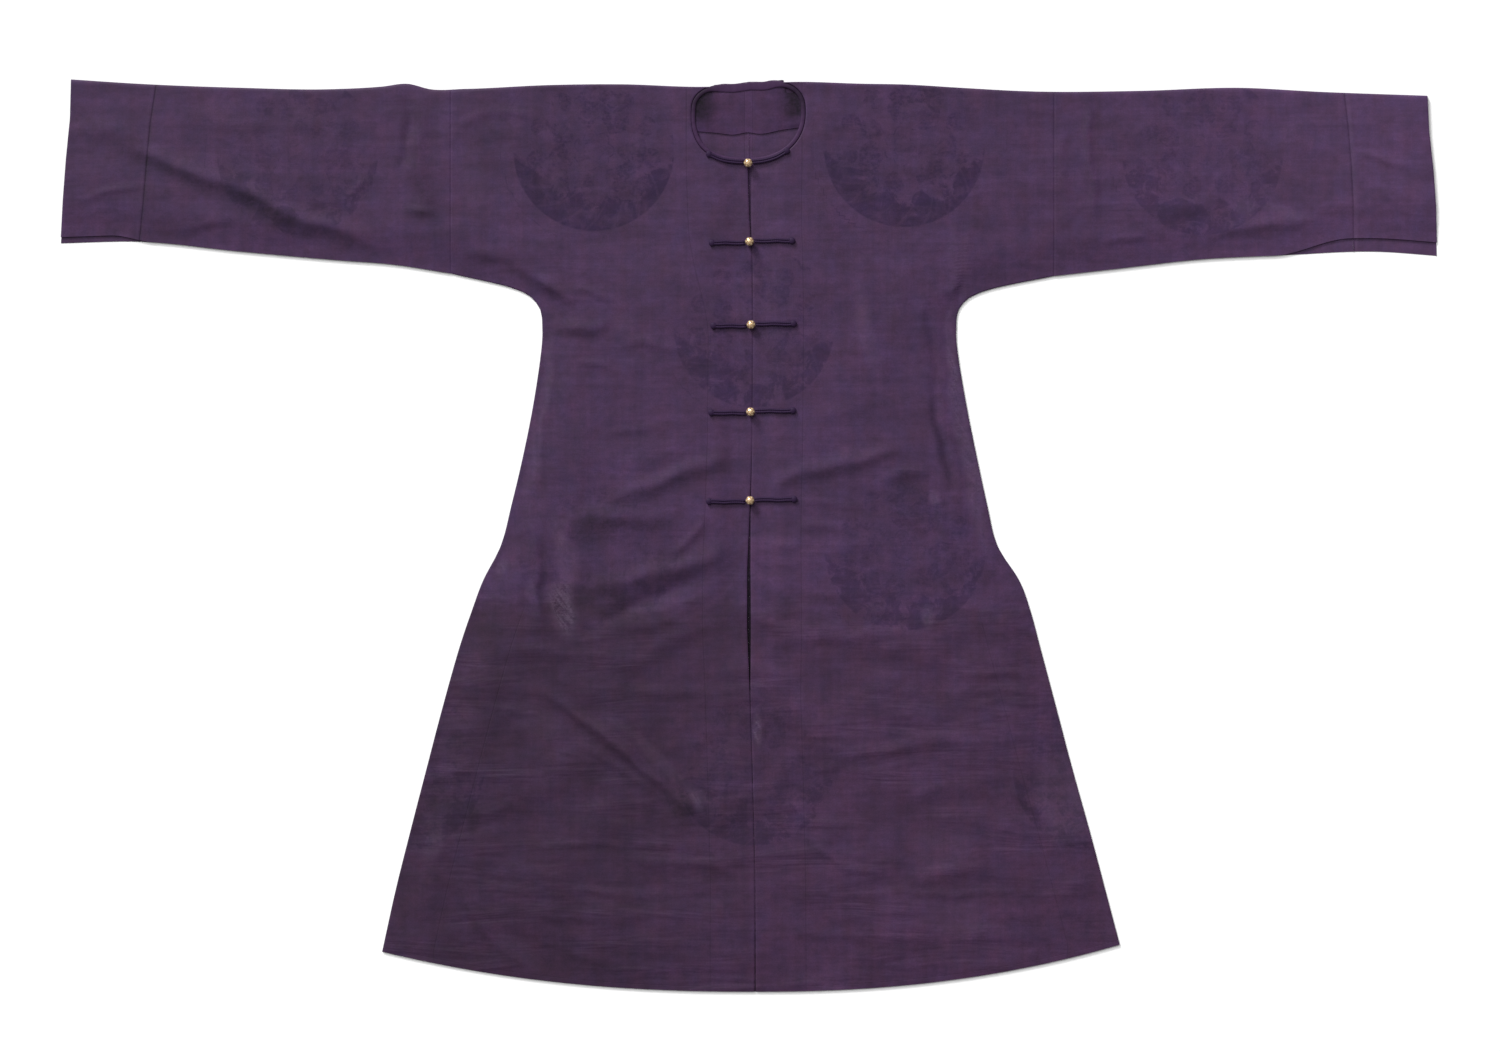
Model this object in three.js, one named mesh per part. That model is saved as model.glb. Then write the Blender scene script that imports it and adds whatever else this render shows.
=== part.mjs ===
import * as THREE from 'three';

// A long surcoat of thin purple silk damask, laid flat on a table with its front up.
// Millimetres. X runs to the wearer's left, Y to the neck, Z up from the table, and the
// origin is on the table under the middle of the whole garment. Right and left are the wearer's.
// Each body half and each sleeve is one folded length of silk: a front layer that lies on a
// back layer, with the fold on the shoulder or along the top of the sleeve.

// Driving dimensions
const cloth = 1.0;            // wall of the silk with its facings
const seamGap = 0.3;          // between pieces that are sewn or lie together
const restSlack = 1.3;        // usual room between the two layers, over the seam gap
const mostSlack = 3.6;        // highest fold
const edgeEase = 34;          // the layers come together over this distance from an edge
const sleeveSeam = { right: -357.4, left: 366.2 };

const neck = {
  x: -0.7, y: 508, depth: 60.5, half: 68.7,
  right: { fullness: 2.7, end: 119 },
  left: { fullness: 2.2, end: 126 },
};

const binding = { width: 5.6, backWidth: 10, height: 2.4, rightEnd: -1.2, leftEnd: 2.8 };
const neckFacing = { half: 80, top: 532, columns: 12, rows: 4 };
const ball = { diameter: 10.5, sides: 12, rings: [-58, -30, 0, 30, 58] };
const cord = { width: 5.4, height: 2.3 };

// Half sections of the binding and of the doubled cord, as shares of half width and height.
const bindingSection = [
  { out: 1, up: 0 }, { out: 1, up: 0.6 }, { out: 0.55, up: 1 },
];
const cordSection = [
  { out: 1, up: 0 }, { out: 1, up: 0.65 }, { out: 0.5, up: 1 }, { out: 0, up: 0.72 },
];

// How thick the doubled cord is along its length, from the ball to the knob at its end.
const cordStations = [
  { along: 0, scale: 0.8 }, { along: 0.06, scale: 1 }, { along: 0.35, scale: 1 },
  { along: 0.62, scale: 1 }, { along: 0.83, scale: 1 }, { along: 0.86, scale: 1.4 },
  { along: 0.97, scale: 1.4 }, { along: 1, scale: 0.7 },
];

const finishes = {
  silk: { color: 0x4b3652, roughness: 0.55, metalness: 0 },
  trim: { color: 0x3b2a42, roughness: 0.6, metalness: 0 },
  cord: { color: 0x35263b, roughness: 0.6, metalness: 0 },
  gilt: { color: 0xc59a56, roughness: 0.35, metalness: 1 },
};

// Where the cloth is cut

// One row for each section across the body, from the hem up. mid is its height on the centre
// front, neck its turn round the neck in degrees, and the rest is where it meets the edge.
const bodySections = [
  { mid: -547.3, neck: 0, rightX: -439.9, rightY: -499.3, leftX: 444.9, leftY: -490.9 },
  { mid: -470, neck: 0, rightX: -423.7, rightY: -425.5, leftX: 427.6, leftY: -425.5 },
  { mid: -380, neck: 0, rightX: -405.7, rightY: -353.5, leftX: 408.5, leftY: -353.5 },
  { mid: -292, neck: 0, rightX: -387.1, rightY: -281.5, leftX: 388.4, leftY: -281.5 },
  { mid: -212, neck: 0, rightX: -368.3, rightY: -209.5, leftX: 369.4, leftY: -209.5 },
  { mid: -138, neck: 0, rightX: -348.1, rightY: -137.5, leftX: 350.3, leftY: -137.5 },
  { mid: -88, neck: 0, rightX: -332.0, rightY: -89.5, leftX: 337.4, leftY: -89.5 },
  { mid: -52, neck: 0, rightX: -318.5, rightY: -53.5, leftX: 324.1, leftY: -53.5 },
  { mid: -10, neck: 0, rightX: -297.2, rightY: -11.5, leftX: 297.8, leftY: -11.5 },
  { mid: 40, neck: 0, rightX: -284.7, rightY: 36.5, leftX: 285.8, leftY: 36.5 },
  { mid: 98, neck: 0, rightX: -271.9, rightY: 90.5, leftX: 274.1, leftY: 90.5 },
  { mid: 158, neck: 0, rightX: -259.7, rightY: 150.5, leftX: 262.0, leftY: 150.5 },
  { mid: 216, neck: 0, rightX: -250.4, rightY: 210.5, leftX: 251.7, leftY: 210.5 },
  { mid: 262, neck: 0, rightX: -247.7, rightY: 246.5, leftX: 248.7, leftY: 246.5 },
  { mid: 300, neck: 0, rightX: -252.5, rightY: 275.3, leftX: 254.3, leftY: 275.3 },
  { mid: 338, neck: 0, rightX: -279.0, rightY: 295.4, leftX: 285.0, leftY: 294.0 },
  { mid: 385, neck: 0, rightX: -357.4, rightY: 314.3, leftX: 366.2, leftY: 311.3 },
  { mid: 446.3, neck: 0, rightX: -357.4, rightY: 365, leftX: 366.2, leftY: 362 },
  { mid: 446.3, neck: 38, rightX: -357.4, rightY: 410, leftX: 366.2, leftY: 408 },
  { mid: 446.3, neck: 72, rightX: -357.4, rightY: 455, leftX: 366.2, leftY: 452 },
  { mid: 446.3, neck: 106, rightX: -357.4, rightY: 498, leftX: 366.2, leftY: 496 },
];
const hemBow = 2.25;

// The front edges: where they meet and how far they stand apart, from the hem up.
const frontEdges = [
  { y: -547, x: 7.6, gap: 1.6 },
  { y: -408, x: 7.4, gap: 0.3 },
  { y: -276, x: 4.0, gap: 0.6 },
  { y: -190, x: 1.4, gap: 2.2 },
  { y: -110, x: 0.2, gap: 5.2 },
  { y: -40, x: 0.0, gap: 4.0 },
  { y: 25, x: 1.4, gap: 1.6 },
  { y: 110, x: 3.8, gap: 0.6 },
  { y: 250, x: 5.0, gap: 0.6 },
  { y: 345, x: 3.8, gap: 0.8 },
  { y: 385, x: 0.6, gap: 2.4 },
  { y: 446.3, x: 0.8, gap: 3.8 },
];

// The fold along the top, from the right cuff to the left one.
const topFold = [
  { x: -813, y: 547.0 }, { x: -731, y: 541.7 }, { x: -611, y: 537.0 }, { x: -503, y: 535.2 },
  { x: -440, y: 538.4 }, { x: -409, y: 541.7 }, { x: -382, y: 535.2 }, { x: -340, y: 535.6 },
  { x: -240, y: 540.2 }, { x: -150, y: 541.1 }, { x: -60, y: 538.1 }, { x: 62, y: 544.1 },
  { x: 134, y: 541.9 }, { x: 190, y: 540.8 }, { x: 250, y: 537.2 }, { x: 340, y: 532.6 },
  { x: 470, y: 533.3 }, { x: 589, y: 536.9 }, { x: 685, y: 532.1 }, { x: 814, y: 527.4 },
];

const backNeck = [
  { x: -64, y: 538.1 }, { x: -40, y: 541.5 }, { x: -18, y: 541.6 }, { x: 1, y: 544.2 },
  { x: 11, y: 543.2 }, { x: 25, y: 545.6 }, { x: 43, y: 547.3 }, { x: 66, y: 544.1 },
];

// Lower edge of the facing behind the neck.
const facingEdge = [
  { x: -80, y: 486 }, { x: -40, y: 483 }, { x: -18, y: 480.8 }, { x: -1, y: 483.5 },
  { x: 12, y: 481.8 }, { x: 40, y: 486.5 }, { x: 80, y: 492 },
];

const sleeveUnder = {
  right: [
    { x: -825.4, y: 350.6 }, { x: -731, y: 352.4 }, { x: -611, y: 340.7 }, { x: -490, y: 329.9 },
    { x: -428, y: 325.1 }, { x: -357.4, y: 314.3 },
  ],
  left: [
    { x: 366.2, y: 311.3 }, { x: 445, y: 320.3 }, { x: 541, y: 331.1 }, { x: 637, y: 335.9 },
    { x: 757, y: 340.4 }, { x: 825.4, y: 335.6 },
  ],
};

// At the wrist the front layer stops short of the back one by size, from one x to another.
const wristStep = {
  right: { size: 7.3, from: 715, to: 765 },
  left: { size: 16, from: 630, to: 720 },
};

// Cuff seam and sleeve mouth: across runs from the under edge, 0, to the top fold, 1.
const cuffSeam = [
  { across: 0, right: -730.6, left: 725.7 },
  { across: 0.25, right: -725.5, left: 725.0 },
  { across: 0.5, right: -721.6, left: 722.8 },
  { across: 0.75, right: -717.3, left: 719.3 },
  { across: 1, right: -710.2, left: 714.2 },
];
const sleeveMouth = [
  { across: 0, right: -825.4, left: 825.4 },
  { across: 0.25, right: -822.4, left: 824.0 },
  { across: 0.5, right: -818.8, left: 820.8 },
  { across: 0.75, right: -814.0, left: 815.9 },
  { across: 1, right: -812.8, left: 813.8 },
];

// The largest folds of the front layer. turn is the direction in degrees, width the distance
// from the crest to where the fold fades, bend how far its middle bows to the left of its way,
// and rise how far the crest stands up, or down where it is a trough.
const folds = [
  { x: -596, y: 407, turn: -22, length: 390, bend: -18, width: 20, rise: -1.3 },
  { x: -560, y: 422, turn: -22, length: 330, bend: -14, width: 22, rise: 1.4 },
  { x: -413, y: 440, turn: -91, length: 250, bend: -1, width: 20, rise: 1.9 },
  { x: -767, y: 412, turn: 5, length: 90, bend: 12, width: 20, rise: 0.9 },
  { x: -671, y: 366, turn: 8, length: 120, bend: 0, width: 18, rise: 1.0 },
  { x: -219, y: 262, turn: -24, length: 130, bend: 4, width: 20, rise: -1.2 },
  { x: -205, y: 283, turn: -24, length: 110, bend: 4, width: 20, rise: 1.3 },
  { x: -120, y: 60, turn: 19, length: 170, bend: -4, width: 20, rise: 1.2 },
  { x: -167, y: 4, turn: 20, length: 120, bend: 0, width: 22, rise: -1.1 },
  { x: -130, y: -84, turn: 26, length: 170, bend: -6, width: 22, rise: 1.5 },
  { x: -240, y: -10, turn: 70, length: 120, bend: 6, width: 22, rise: 1.2 },
  { x: -154, y: -266, turn: -39, length: 250, bend: 8, width: 20, rise: -1.3 },
  { x: -138, y: -250, turn: -39, length: 240, bend: 8, width: 20, rise: 1.5 },
  { x: -303, y: -462, turn: -58, length: 130, bend: -20, width: 20, rise: 1.4 },
  { x: -150, y: -434, turn: 0, length: 500, bend: 0, width: 16, rise: -0.9 },
  { x: 190, y: -436, turn: 1, length: 460, bend: 2, width: 16, rise: -0.9 },
  { x: 112, y: 76, turn: 15, length: 180, bend: 9, width: 20, rise: -1.2 },
  { x: 128, y: 98, turn: 13, length: 170, bend: 9, width: 22, rise: 1.4 },
  { x: 226, y: 171, turn: -82, length: 250, bend: -9, width: 18, rise: -1.3 },
  { x: 243, y: 160, turn: -82, length: 230, bend: -8, width: 14, rise: 1.2 },
  { x: 141, y: 237, turn: -90, length: 150, bend: 0, width: 24, rise: 1.3 },
  { x: 252, y: 330, turn: -95, length: 190, bend: -2, width: 18, rise: 1.6 },
  { x: 205, y: 52, turn: 18, length: 110, bend: 0, width: 18, rise: 1.1 },
  { x: 288, y: -177, turn: 0, length: 160, bend: 3, width: 20, rise: -1.1 },
  { x: 280, y: -153, turn: 2, length: 170, bend: 3, width: 20, rise: 1.3 },
  { x: 190, y: -264, turn: 6, length: 190, bend: 5, width: 20, rise: 1.4 },
  { x: 124, y: -377, turn: -16, length: 130, bend: -11, width: 20, rise: -1.1 },
  { x: 360, y: -390, turn: -70, length: 150, bend: 6, width: 22, rise: 1.2 },
  { x: 607, y: 364, turn: 13, length: 160, bend: 6, width: 18, rise: -1.2 },
  { x: 604, y: 392, turn: 10, length: 110, bend: 4, width: 26, rise: 1.6 },
  { x: 406, y: 450, turn: -86, length: 200, bend: 1, width: 20, rise: 1.6 },
  { x: 759, y: 448, turn: -20, length: 80, bend: -2, width: 18, rise: 1.0 },
];

// The fronts lie quiet under the cords: no fold reaches nearer the centre front than this.
const quietFront = { from: 70, to: 110, down: -30, fade: 50 };

const frogs = [
  { x: -0.9, y: 446.2, right: 47, left: 47 },
  { x: 0.8, y: 352.1, right: 48, left: 54 },
  { x: 2.6, y: 252.5, right: 48, left: 54 },
  { x: 2.0, y: 148.1, right: 50, left: 54 },
  { x: 1.4, y: 41.9, right: 52, left: 56 },
];
const frogDrop = 2.6;           // the right front's cords lie this much lower
const topCordTurns = { right: [1.5, 9, 22, 37], left: [2.75, 12, 26, 40.5] };

// How a fold fades to its ends and to its sides
const foldFade = 1.5;
const foldSpread = 2;

// Mesh steps
const topSteps = 160;
const underSteps = 60;
const neckSteps = 40;
const sideSteps = 10;
const chordMargin = 1.2;
const bodyColumns = 14;
const stepsPerSection = 2;
const backLevels = [19, 17, 16, 15.5, 15, 14.5, 14, 13, 11.5, 10, 8, 7, 5.5, 4, 2, 0];
const backFirstStep = 20;
const sleeveColumns = 13;
const cuffColumns = 4;
const frontSleeveRows = 8;
const backSleeveRows = 3;
const foldTurns = [45, 0, -45];
const bindingSteps = 40;

function between(rows, key, value, at) {
  let k = 1;
  while (k < rows.length - 1 && at > rows[k][key]) k += 1;
  const span = rows[k][key] - rows[k - 1][key];
  const share = THREE.MathUtils.clamp((at - rows[k - 1][key]) / span, 0, 1);
  return THREE.MathUtils.lerp(rows[k - 1][value], rows[k][value], share);
}

function smoothLine(rows, samples) {
  const curve = new THREE.CatmullRomCurve3(rows.map((row) => new THREE.Vector3(row.x, row.y, 0)));
  return curve.getPoints(samples).map((point) => ({ x: point.x, y: point.y }));
}

const topLine = smoothLine(topFold, topSteps);
const backNeckLine = smoothLine(backNeck, neckSteps);
const underLine = {
  right: smoothLine(sleeveUnder.right, underSteps),
  left: smoothLine(sleeveUnder.left, underSteps),
};
const facingLine = smoothLine(facingEdge, neckSteps);
const facingY = (x) => between(facingLine, 'x', 'y', x);
const topY = (x) => between(topLine, 'x', 'y', x);
const backNeckY = (x) => between(backNeckLine, 'x', 'y', x);
const frontX = (y) => between(frontEdges, 'y', 'x', y);
const frontGap = (y) => between(frontEdges, 'y', 'gap', y);

// The side edge of each half, from the hem to the sleeve seam, and its upper stretch under the arm.
const seamRow = 16;
const armRow = 13;
const sideCurve = {};
const sideLine = {};
const armLine = {};
for (const side of ['right', 'left']) {
  const rows = bodySections.slice(0, seamRow + 1);
  sideCurve[side] = new THREE.CatmullRomCurve3(
    rows.map((row) => new THREE.Vector3(row[`${side}X`], row[`${side}Y`], 0)));
  sideLine[side] = sideCurve[side].getPoints(sideSteps * seamRow)
    .map((point) => ({ out: Math.abs(point.x), y: point.y }));
  armLine[side] = sideLine[side].slice(sideSteps * armRow);
}

const sign = { right: -1, left: 1 };
const sideOf = (x) => (x < 0 ? 'right' : 'left');
const farAway = 1e4;

// How far a point of the front layer lies inside the nearest open edge, from its distances
// across and down to that edge.
function inset(x, y) {
  const side = sideOf(x);
  const out = Math.abs(x);
  const sides = sideLine[side];
  const arm = armLine[side];
  const across = y < sides[sides.length - 1].y ? between(sides, 'y', 'out', y) - out : farAway;
  let down = farAway;
  if (y > arm[0].y && out > arm[0].out) {
    const onSleeve = out > Math.abs(sleeveSeam[side]);
    const edge = onSleeve ? underY(side, x) + stepAt(x) : between(arm, 'out', 'y', out);
    down = y - edge;
  }
  const reach = Math.hypot(across, down);
  const toSide = reach > 0 ? (across * down) / reach : 0;
  return Math.min(toSide, y - hemY(x));
}

function underY(side, x) {
  return between(underLine[side], 'x', 'y', x);
}

function hemY(x) {
  const side = sideOf(x);
  const row = bodySections[0];
  const share = Math.min(Math.abs(x / row[`${side}X`]), 1);
  return row.mid + (row[`${side}Y`] - row.mid) * share ** hemBow;
}

function stepAt(x) {
  const step = wristStep[sideOf(x)];
  return step.size * THREE.MathUtils.smoothstep(Math.abs(x), step.from, step.to);
}

function foldRise(fold, x, y) {
  const turn = THREE.MathUtils.degToRad(fold.turn);
  const dx = x - fold.x;
  const dy = y - fold.y;
  const along = (dx * Math.cos(turn) + dy * Math.sin(turn)) / (fold.length / 2);
  if (Math.abs(along) >= 1) return 0;
  const bow = fold.bend * (1 - along * along);
  const across = (dy * Math.cos(turn) - dx * Math.sin(turn) - bow) / fold.width;
  return fold.rise * (1 - along * along) ** foldFade * Math.exp(-foldSpread * across * across);
}

// Underside of the front layer above the table.
function frontFoot(x, y) {
  const quiet = THREE.MathUtils.smoothstep(Math.abs(x), quietFront.from, quietFront.to);
  const low = THREE.MathUtils.smoothstep(quietFront.down - y, 0, quietFront.fade);
  const free = Math.max(quiet, low);
  let slack = restSlack;
  for (const fold of folds) slack += free * foldRise(fold, x, y);
  const eased = THREE.MathUtils.smoothstep(inset(x, y), 0, edgeEase);
  return cloth + seamGap + THREE.MathUtils.clamp(slack * eased, 0, mostSlack);
}

const frontTop = (x, y) => frontFoot(x, y) + cloth;

// A closed body from a grid of wall points, each with its outer and its inner place.
function wallGeometry(grid) {
  const columns = grid.length;
  const rows = grid[0].length;
  const places = [];
  for (const face of ['outer', 'inner']) {
    for (const column of grid) {
      for (const point of column) places.push(...point[face]);
    }
  }
  const outer = (i, j) => i * rows + j;
  const inner = (i, j) => columns * rows + i * rows + j;
  const corners = [];
  const quad = (a, b, c, d) => corners.push(a, b, c, a, c, d);
  for (let i = 0; i < columns - 1; i += 1) {
    for (let j = 0; j < rows - 1; j += 1) {
      quad(outer(i, j), outer(i + 1, j), outer(i + 1, j + 1), outer(i, j + 1));
      quad(inner(i, j), inner(i, j + 1), inner(i + 1, j + 1), inner(i + 1, j));
    }
    quad(outer(i, 0), inner(i, 0), inner(i + 1, 0), outer(i + 1, 0));
    const last = rows - 1;
    quad(outer(i, last), outer(i + 1, last), inner(i + 1, last), inner(i, last));
  }
  for (let j = 0; j < rows - 1; j += 1) {
    const last = columns - 1;
    quad(outer(0, j), outer(0, j + 1), inner(0, j + 1), inner(0, j));
    quad(outer(last, j), inner(last, j), inner(last, j + 1), outer(last, j + 1));
  }
  return closedGeometry(places, corners);
}

// A closed body from rings of points that follow each other, with a flat cap at each end.
function ringGeometry(rings) {
  const count = rings[0].length;
  const places = rings.flat().flatMap((point) => [...point]);
  const corners = [];
  for (let k = 0; k < rings.length - 1; k += 1) {
    for (let i = 0; i < count; i += 1) {
      const a = k * count + i;
      const b = k * count + ((i + 1) % count);
      corners.push(a, b, b + count, a, b + count, a + count);
    }
  }
  const last = (rings.length - 1) * count;
  for (let i = 1; i < count - 1; i += 1) {
    corners.push(0, i + 1, i);
    corners.push(last, last + i, last + i + 1);
  }
  return closedGeometry(places, corners);
}

// One whole section of a strip from its half section, from the left foot round to the right.
function wholeSection(half) {
  const other = half.filter((point) => point.out > 0)
    .map((point) => ({ out: -point.out, up: point.up })).reverse();
  return [...half, ...other];
}

// The section of a strip that lies along a route: sizes are its full width and height.
function stripRing(route, along, section, sizes, scale, footAt) {
  const point = route.getPointAt(along);
  const way = route.getTangentAt(along);
  const foot = footAt(point.x, point.y);
  return section.map(({ out, up }) => {
    const across = (out * scale * sizes.width) / 2;
    return [point.x + way.y * across, point.y - way.x * across, foot + up * scale * sizes.height];
  });
}

// Turns the faces out, whichever way the grid or the rings ran.
function closedGeometry(places, corners) {
  const at = (k) => new THREE.Vector3(places[3 * k], places[3 * k + 1], places[3 * k + 2]);
  let volume = 0;
  for (let k = 0; k < corners.length; k += 3) {
    volume += at(corners[k]).dot(at(corners[k + 1]).cross(at(corners[k + 2])));
  }
  if (volume < 0) corners.reverse();
  const geometry = new THREE.BufferGeometry();
  geometry.setAttribute('position', new THREE.Float32BufferAttribute(places, 3));
  geometry.setIndex(corners);
  return geometry;
}

const surcoat = new THREE.Group();

function addPiece(name, geometry, finish) {
  const piece = new THREE.Mesh(geometry, new THREE.MeshStandardMaterial(finishes[finish]));
  piece.name = name;
  surcoat.add(piece);
}

// Wall points of one line of cloth that runs up the front, over the fold and down the back.
function foldedLine(frontPoints, foldPoint, backPoints) {
  const line = frontPoints.map(([x, y]) => frontWall(x, y));
  const foot = frontFoot(foldPoint[0], foldPoint[1]);
  const inside = (foot - cloth) / 2;
  const middle = (foot + cloth) / 2;
  for (const turn of foldTurns) {
    const angle = THREE.MathUtils.degToRad(turn);
    const wall = {};
    for (const [face, radius] of [['outer', inside + cloth], ['inner', inside]]) {
      const reach = foldPoint[1] - inside - cloth + radius * Math.cos(angle);
      wall[face] = [foldPoint[0], reach, middle + radius * Math.sin(angle)];
    }
    line.push(wall);
  }
  for (const [x, y] of backPoints) line.push({ outer: [x, y, 0], inner: [x, y, cloth] });
  return line;
}

function frontWall(x, y) {
  const foot = frontFoot(x, y);
  return { outer: [x, y, foot + cloth], inner: [x, y, foot] };
}

// A place on the neck line, or outside it by a margin.
function neckPoint(side, turn, margin = 0) {
  const angle = THREE.MathUtils.degToRad(turn);
  const power = 2 / neck[side].fullness;
  const rise = Math.sign(Math.cos(angle)) * Math.abs(Math.cos(angle)) ** power;
  return [
    neck.x + sign[side] * (neck.half + margin) * Math.sin(angle) ** power,
    neck.y - (neck.depth + margin) * rise,
  ];
}

// Body halves. Sections run from the centre front or the neck out to the side edge.
function bodySection(side, level) {
  const below = Math.min(Math.floor(level), bodySections.length - 2);
  const share = level - below;
  const low = bodySections[below];
  const high = bodySections[below + 1];
  const mid = THREE.MathUtils.lerp(low.mid, high.mid, share);
  const turn = THREE.MathUtils.lerp(low.neck, high.neck, share);
  const outer = level <= seamRow
    ? sideCurve[side].getPoint(level / seamRow)
    : {
      x: sleeveSeam[side] - sign[side] * seamGap / 2,
      y: THREE.MathUtils.lerp(low[`${side}Y`], high[`${side}Y`], share),
    };
  const inner = turn > 0
    ? neckPoint(side, turn, chordMargin)
    : [frontX(mid) + sign[side] * frontGap(mid) / 2, mid];
  return { inner, outer: [outer.x, outer.y] };
}

function acrossSection(section, share) {
  const [x0, y0] = section.inner;
  const [x1, y1] = section.outer;
  return [x0 + (x1 - x0) * share, y0 + (y1 - y0) * share ** hemBow];
}

function bodyGeometry(side) {
  const levels = bodySections.length - 1;
  const foldEnd = neckPoint(side, neck[side].end, chordMargin)[0];
  const seamEnd = sleeveSeam[side] - sign[side] * seamGap / 2;
  const backEdge = sign[side] * seamGap / 2;
  const grid = [];
  for (let i = 0; i <= bodyColumns; i += 1) {
    const share = i / bodyColumns;
    const front = [];
    for (let step = 0; step <= levels * stepsPerSection; step += 1) {
      front.push(acrossSection(bodySection(side, step / stepsPerSection), share));
    }
    const foldX = THREE.MathUtils.lerp(foldEnd, seamEnd, share);
    const foldPoint = [foldX, topY(foldX)];
    const halfNeck = [foldEnd / 2, backNeckY(foldEnd / 2)];
    const belowFold = [seamEnd, topY(seamEnd) - backFirstStep];
    const back = [acrossSection({ inner: halfNeck, outer: belowFold }, share)];
    for (const level of backLevels) {
      const section = bodySection(side, level);
      const rise = THREE.MathUtils.clamp((level - seamRow) / (levels - 1 - seamRow), 0, 1);
      const height = Math.min(section.inner[1], bodySections[seamRow].mid);
      const inner = [backEdge, THREE.MathUtils.lerp(height, backNeckY(0), rise)];
      back.push(acrossSection({ inner, outer: section.outer }, share));
    }
    grid.push(foldedLine(front, foldPoint, back));
  }
  return wallGeometry(grid);
}

addPiece('body_right', bodyGeometry('right'), 'silk');
addPiece('body_left', bodyGeometry('left'), 'silk');

// Sleeves and cuffs. Lines run across from the under edge of the front, over the top fold and
// down to the under edge of the back.
function sleevePoint(side, innerX, outerX, along, across, stepped) {
  const x = THREE.MathUtils.lerp(innerX, outerX, along);
  const under = underY(side, x) + (stepped ? stepAt(x) : 0);
  return [x, THREE.MathUtils.lerp(under, topY(x), across)];
}

function sleeveGeometry(side, innerEdge, outerEdge, columns) {
  const grid = [];
  for (let i = 0; i <= columns; i += 1) {
    const along = i / columns;
    const front = [];
    const back = [];
    for (let j = 0; j < frontSleeveRows; j += 1) {
      const across = j / frontSleeveRows;
      front.push(sleevePoint(side, innerEdge(across), outerEdge(across), along, across, true));
    }
    const foldPoint = sleevePoint(side, innerEdge(1), outerEdge(1), along, 1, false);
    for (let j = 1; j <= backSleeveRows; j += 1) {
      const across = 1 - j / backSleeveRows;
      back.push(sleevePoint(side, innerEdge(across), outerEdge(across), along, across, false));
    }
    grid.push(foldedLine(front, foldPoint, back));
  }
  return wallGeometry(grid);
}

for (const side of ['right', 'left']) {
  const half = sign[side] * seamGap / 2;
  const bodyEdge = () => sleeveSeam[side] + half;
  const seamEdge = (across) => between(cuffSeam, 'across', side, across);
  const mouthEdge = (across) => between(sleeveMouth, 'across', side, across);
  addPiece(
    `sleeve_${side}`,
    sleeveGeometry(side, bodyEdge, (across) => seamEdge(across) - half, sleeveColumns),
    'silk');
  addPiece(
    `cuff_${side}`,
    sleeveGeometry(side, (across) => seamEdge(across) + half, mouthEdge, cuffColumns),
    'silk');
}

// Neck binding: a narrow folded strip inside the neck edge. It lies on the back panel behind
// and stops at the top button in front.
const bindingFoot = 2 * (cloth + seamGap);
const bindingTop = bindingFoot + binding.height;
const bindingTaper = [0.07, 0.14];     // shares of its length from the centre back
const bindingTurns = [12, 26, 40, 55, 72, 90, 106];
const bindingBehind = [-46, -30, -5, 20, 45];

function bindingGeometry() {
  const middle = seamGap + binding.width / 2;
  const stretches = {};
  for (const side of ['right', 'left']) {
    const end = new THREE.Vector3(binding[`${side}End`], neck.y - neck.depth + middle, 0);
    stretches[side] = [end, ...bindingTurns.map(
      (turn) => new THREE.Vector3(...neckPoint(side, turn, -middle), 0))];
  }
  const behind = bindingBehind.map(
    (x) => new THREE.Vector3(x, backNeckY(x) - binding.backWidth / 2, 0));
  const route = new THREE.CatmullRomCurve3(
    [...stretches.right, ...behind, ...stretches.left.reverse()]);
  const section = wholeSection(bindingSection);
  const rings = [];
  for (let k = 0; k <= bindingSteps; k += 1) {
    const along = k / bindingSteps;
    const back = 1 - THREE.MathUtils.smoothstep(Math.abs(along - 0.5), ...bindingTaper);
    const width = THREE.MathUtils.lerp(binding.width, binding.backWidth, back);
    const sizes = { width, height: binding.height };
    rings.push(stripRing(route, along, section, sizes, 1, () => bindingFoot));
  }
  return ringGeometry(rings);
}

addPiece('neck_binding', bindingGeometry(), 'trim');

// Neck facing: a shaped piece inside the back, which shows through the neck. It lies on the
// back panel, under the binding and the two fronts.
function facingGeometry() {
  const grid = [];
  for (let i = 0; i <= neckFacing.columns; i += 1) {
    const x = neckFacing.half * ((2 * i) / neckFacing.columns - 1);
    const upper = Math.abs(x) < neck.half - 2 * binding.width
      ? backNeckY(x) - seamGap
      : neckFacing.top;
    const column = [];
    for (let j = 0; j <= neckFacing.rows; j += 1) {
      const y = THREE.MathUtils.lerp(facingY(x), upper, j / neckFacing.rows);
      column.push({ outer: [x, y, bindingFoot - seamGap], inner: [x, y, cloth + seamGap] });
    }
    grid.push(column);
  }
  return wallGeometry(grid);
}

addPiece('neck_facing', facingGeometry(), 'silk');

// Buttons and cords. A doubled cord runs out over each front from the ball to a small knob:
// on the right front it is the tab that holds the ball, on the left front the loop round it.
function cordGeometry(points, foot) {
  const route = new THREE.CatmullRomCurve3(points.map(([x, y]) => new THREE.Vector3(x, y, 0)));
  const section = wholeSection(cordSection);
  return ringGeometry(cordStations.map(
    ({ along, scale }) => stripRing(route, along, section, cord, scale, foot)));
}

function frogPoints(frog, side) {
  const start = frog.x + sign[side] * (ball.diameter / 2 + seamGap);
  const end = frog.x + sign[side] * frog[side];
  const y = frog.y + (sign[side] * frogDrop) / 2;
  return [[start, y], [end, y]];
}

// The top cords lie along the seam of the binding and on it.
function topCordPoints(side) {
  return topCordTurns[side].map((turn) => neckPoint(side, turn, -seamGap));
}

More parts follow.
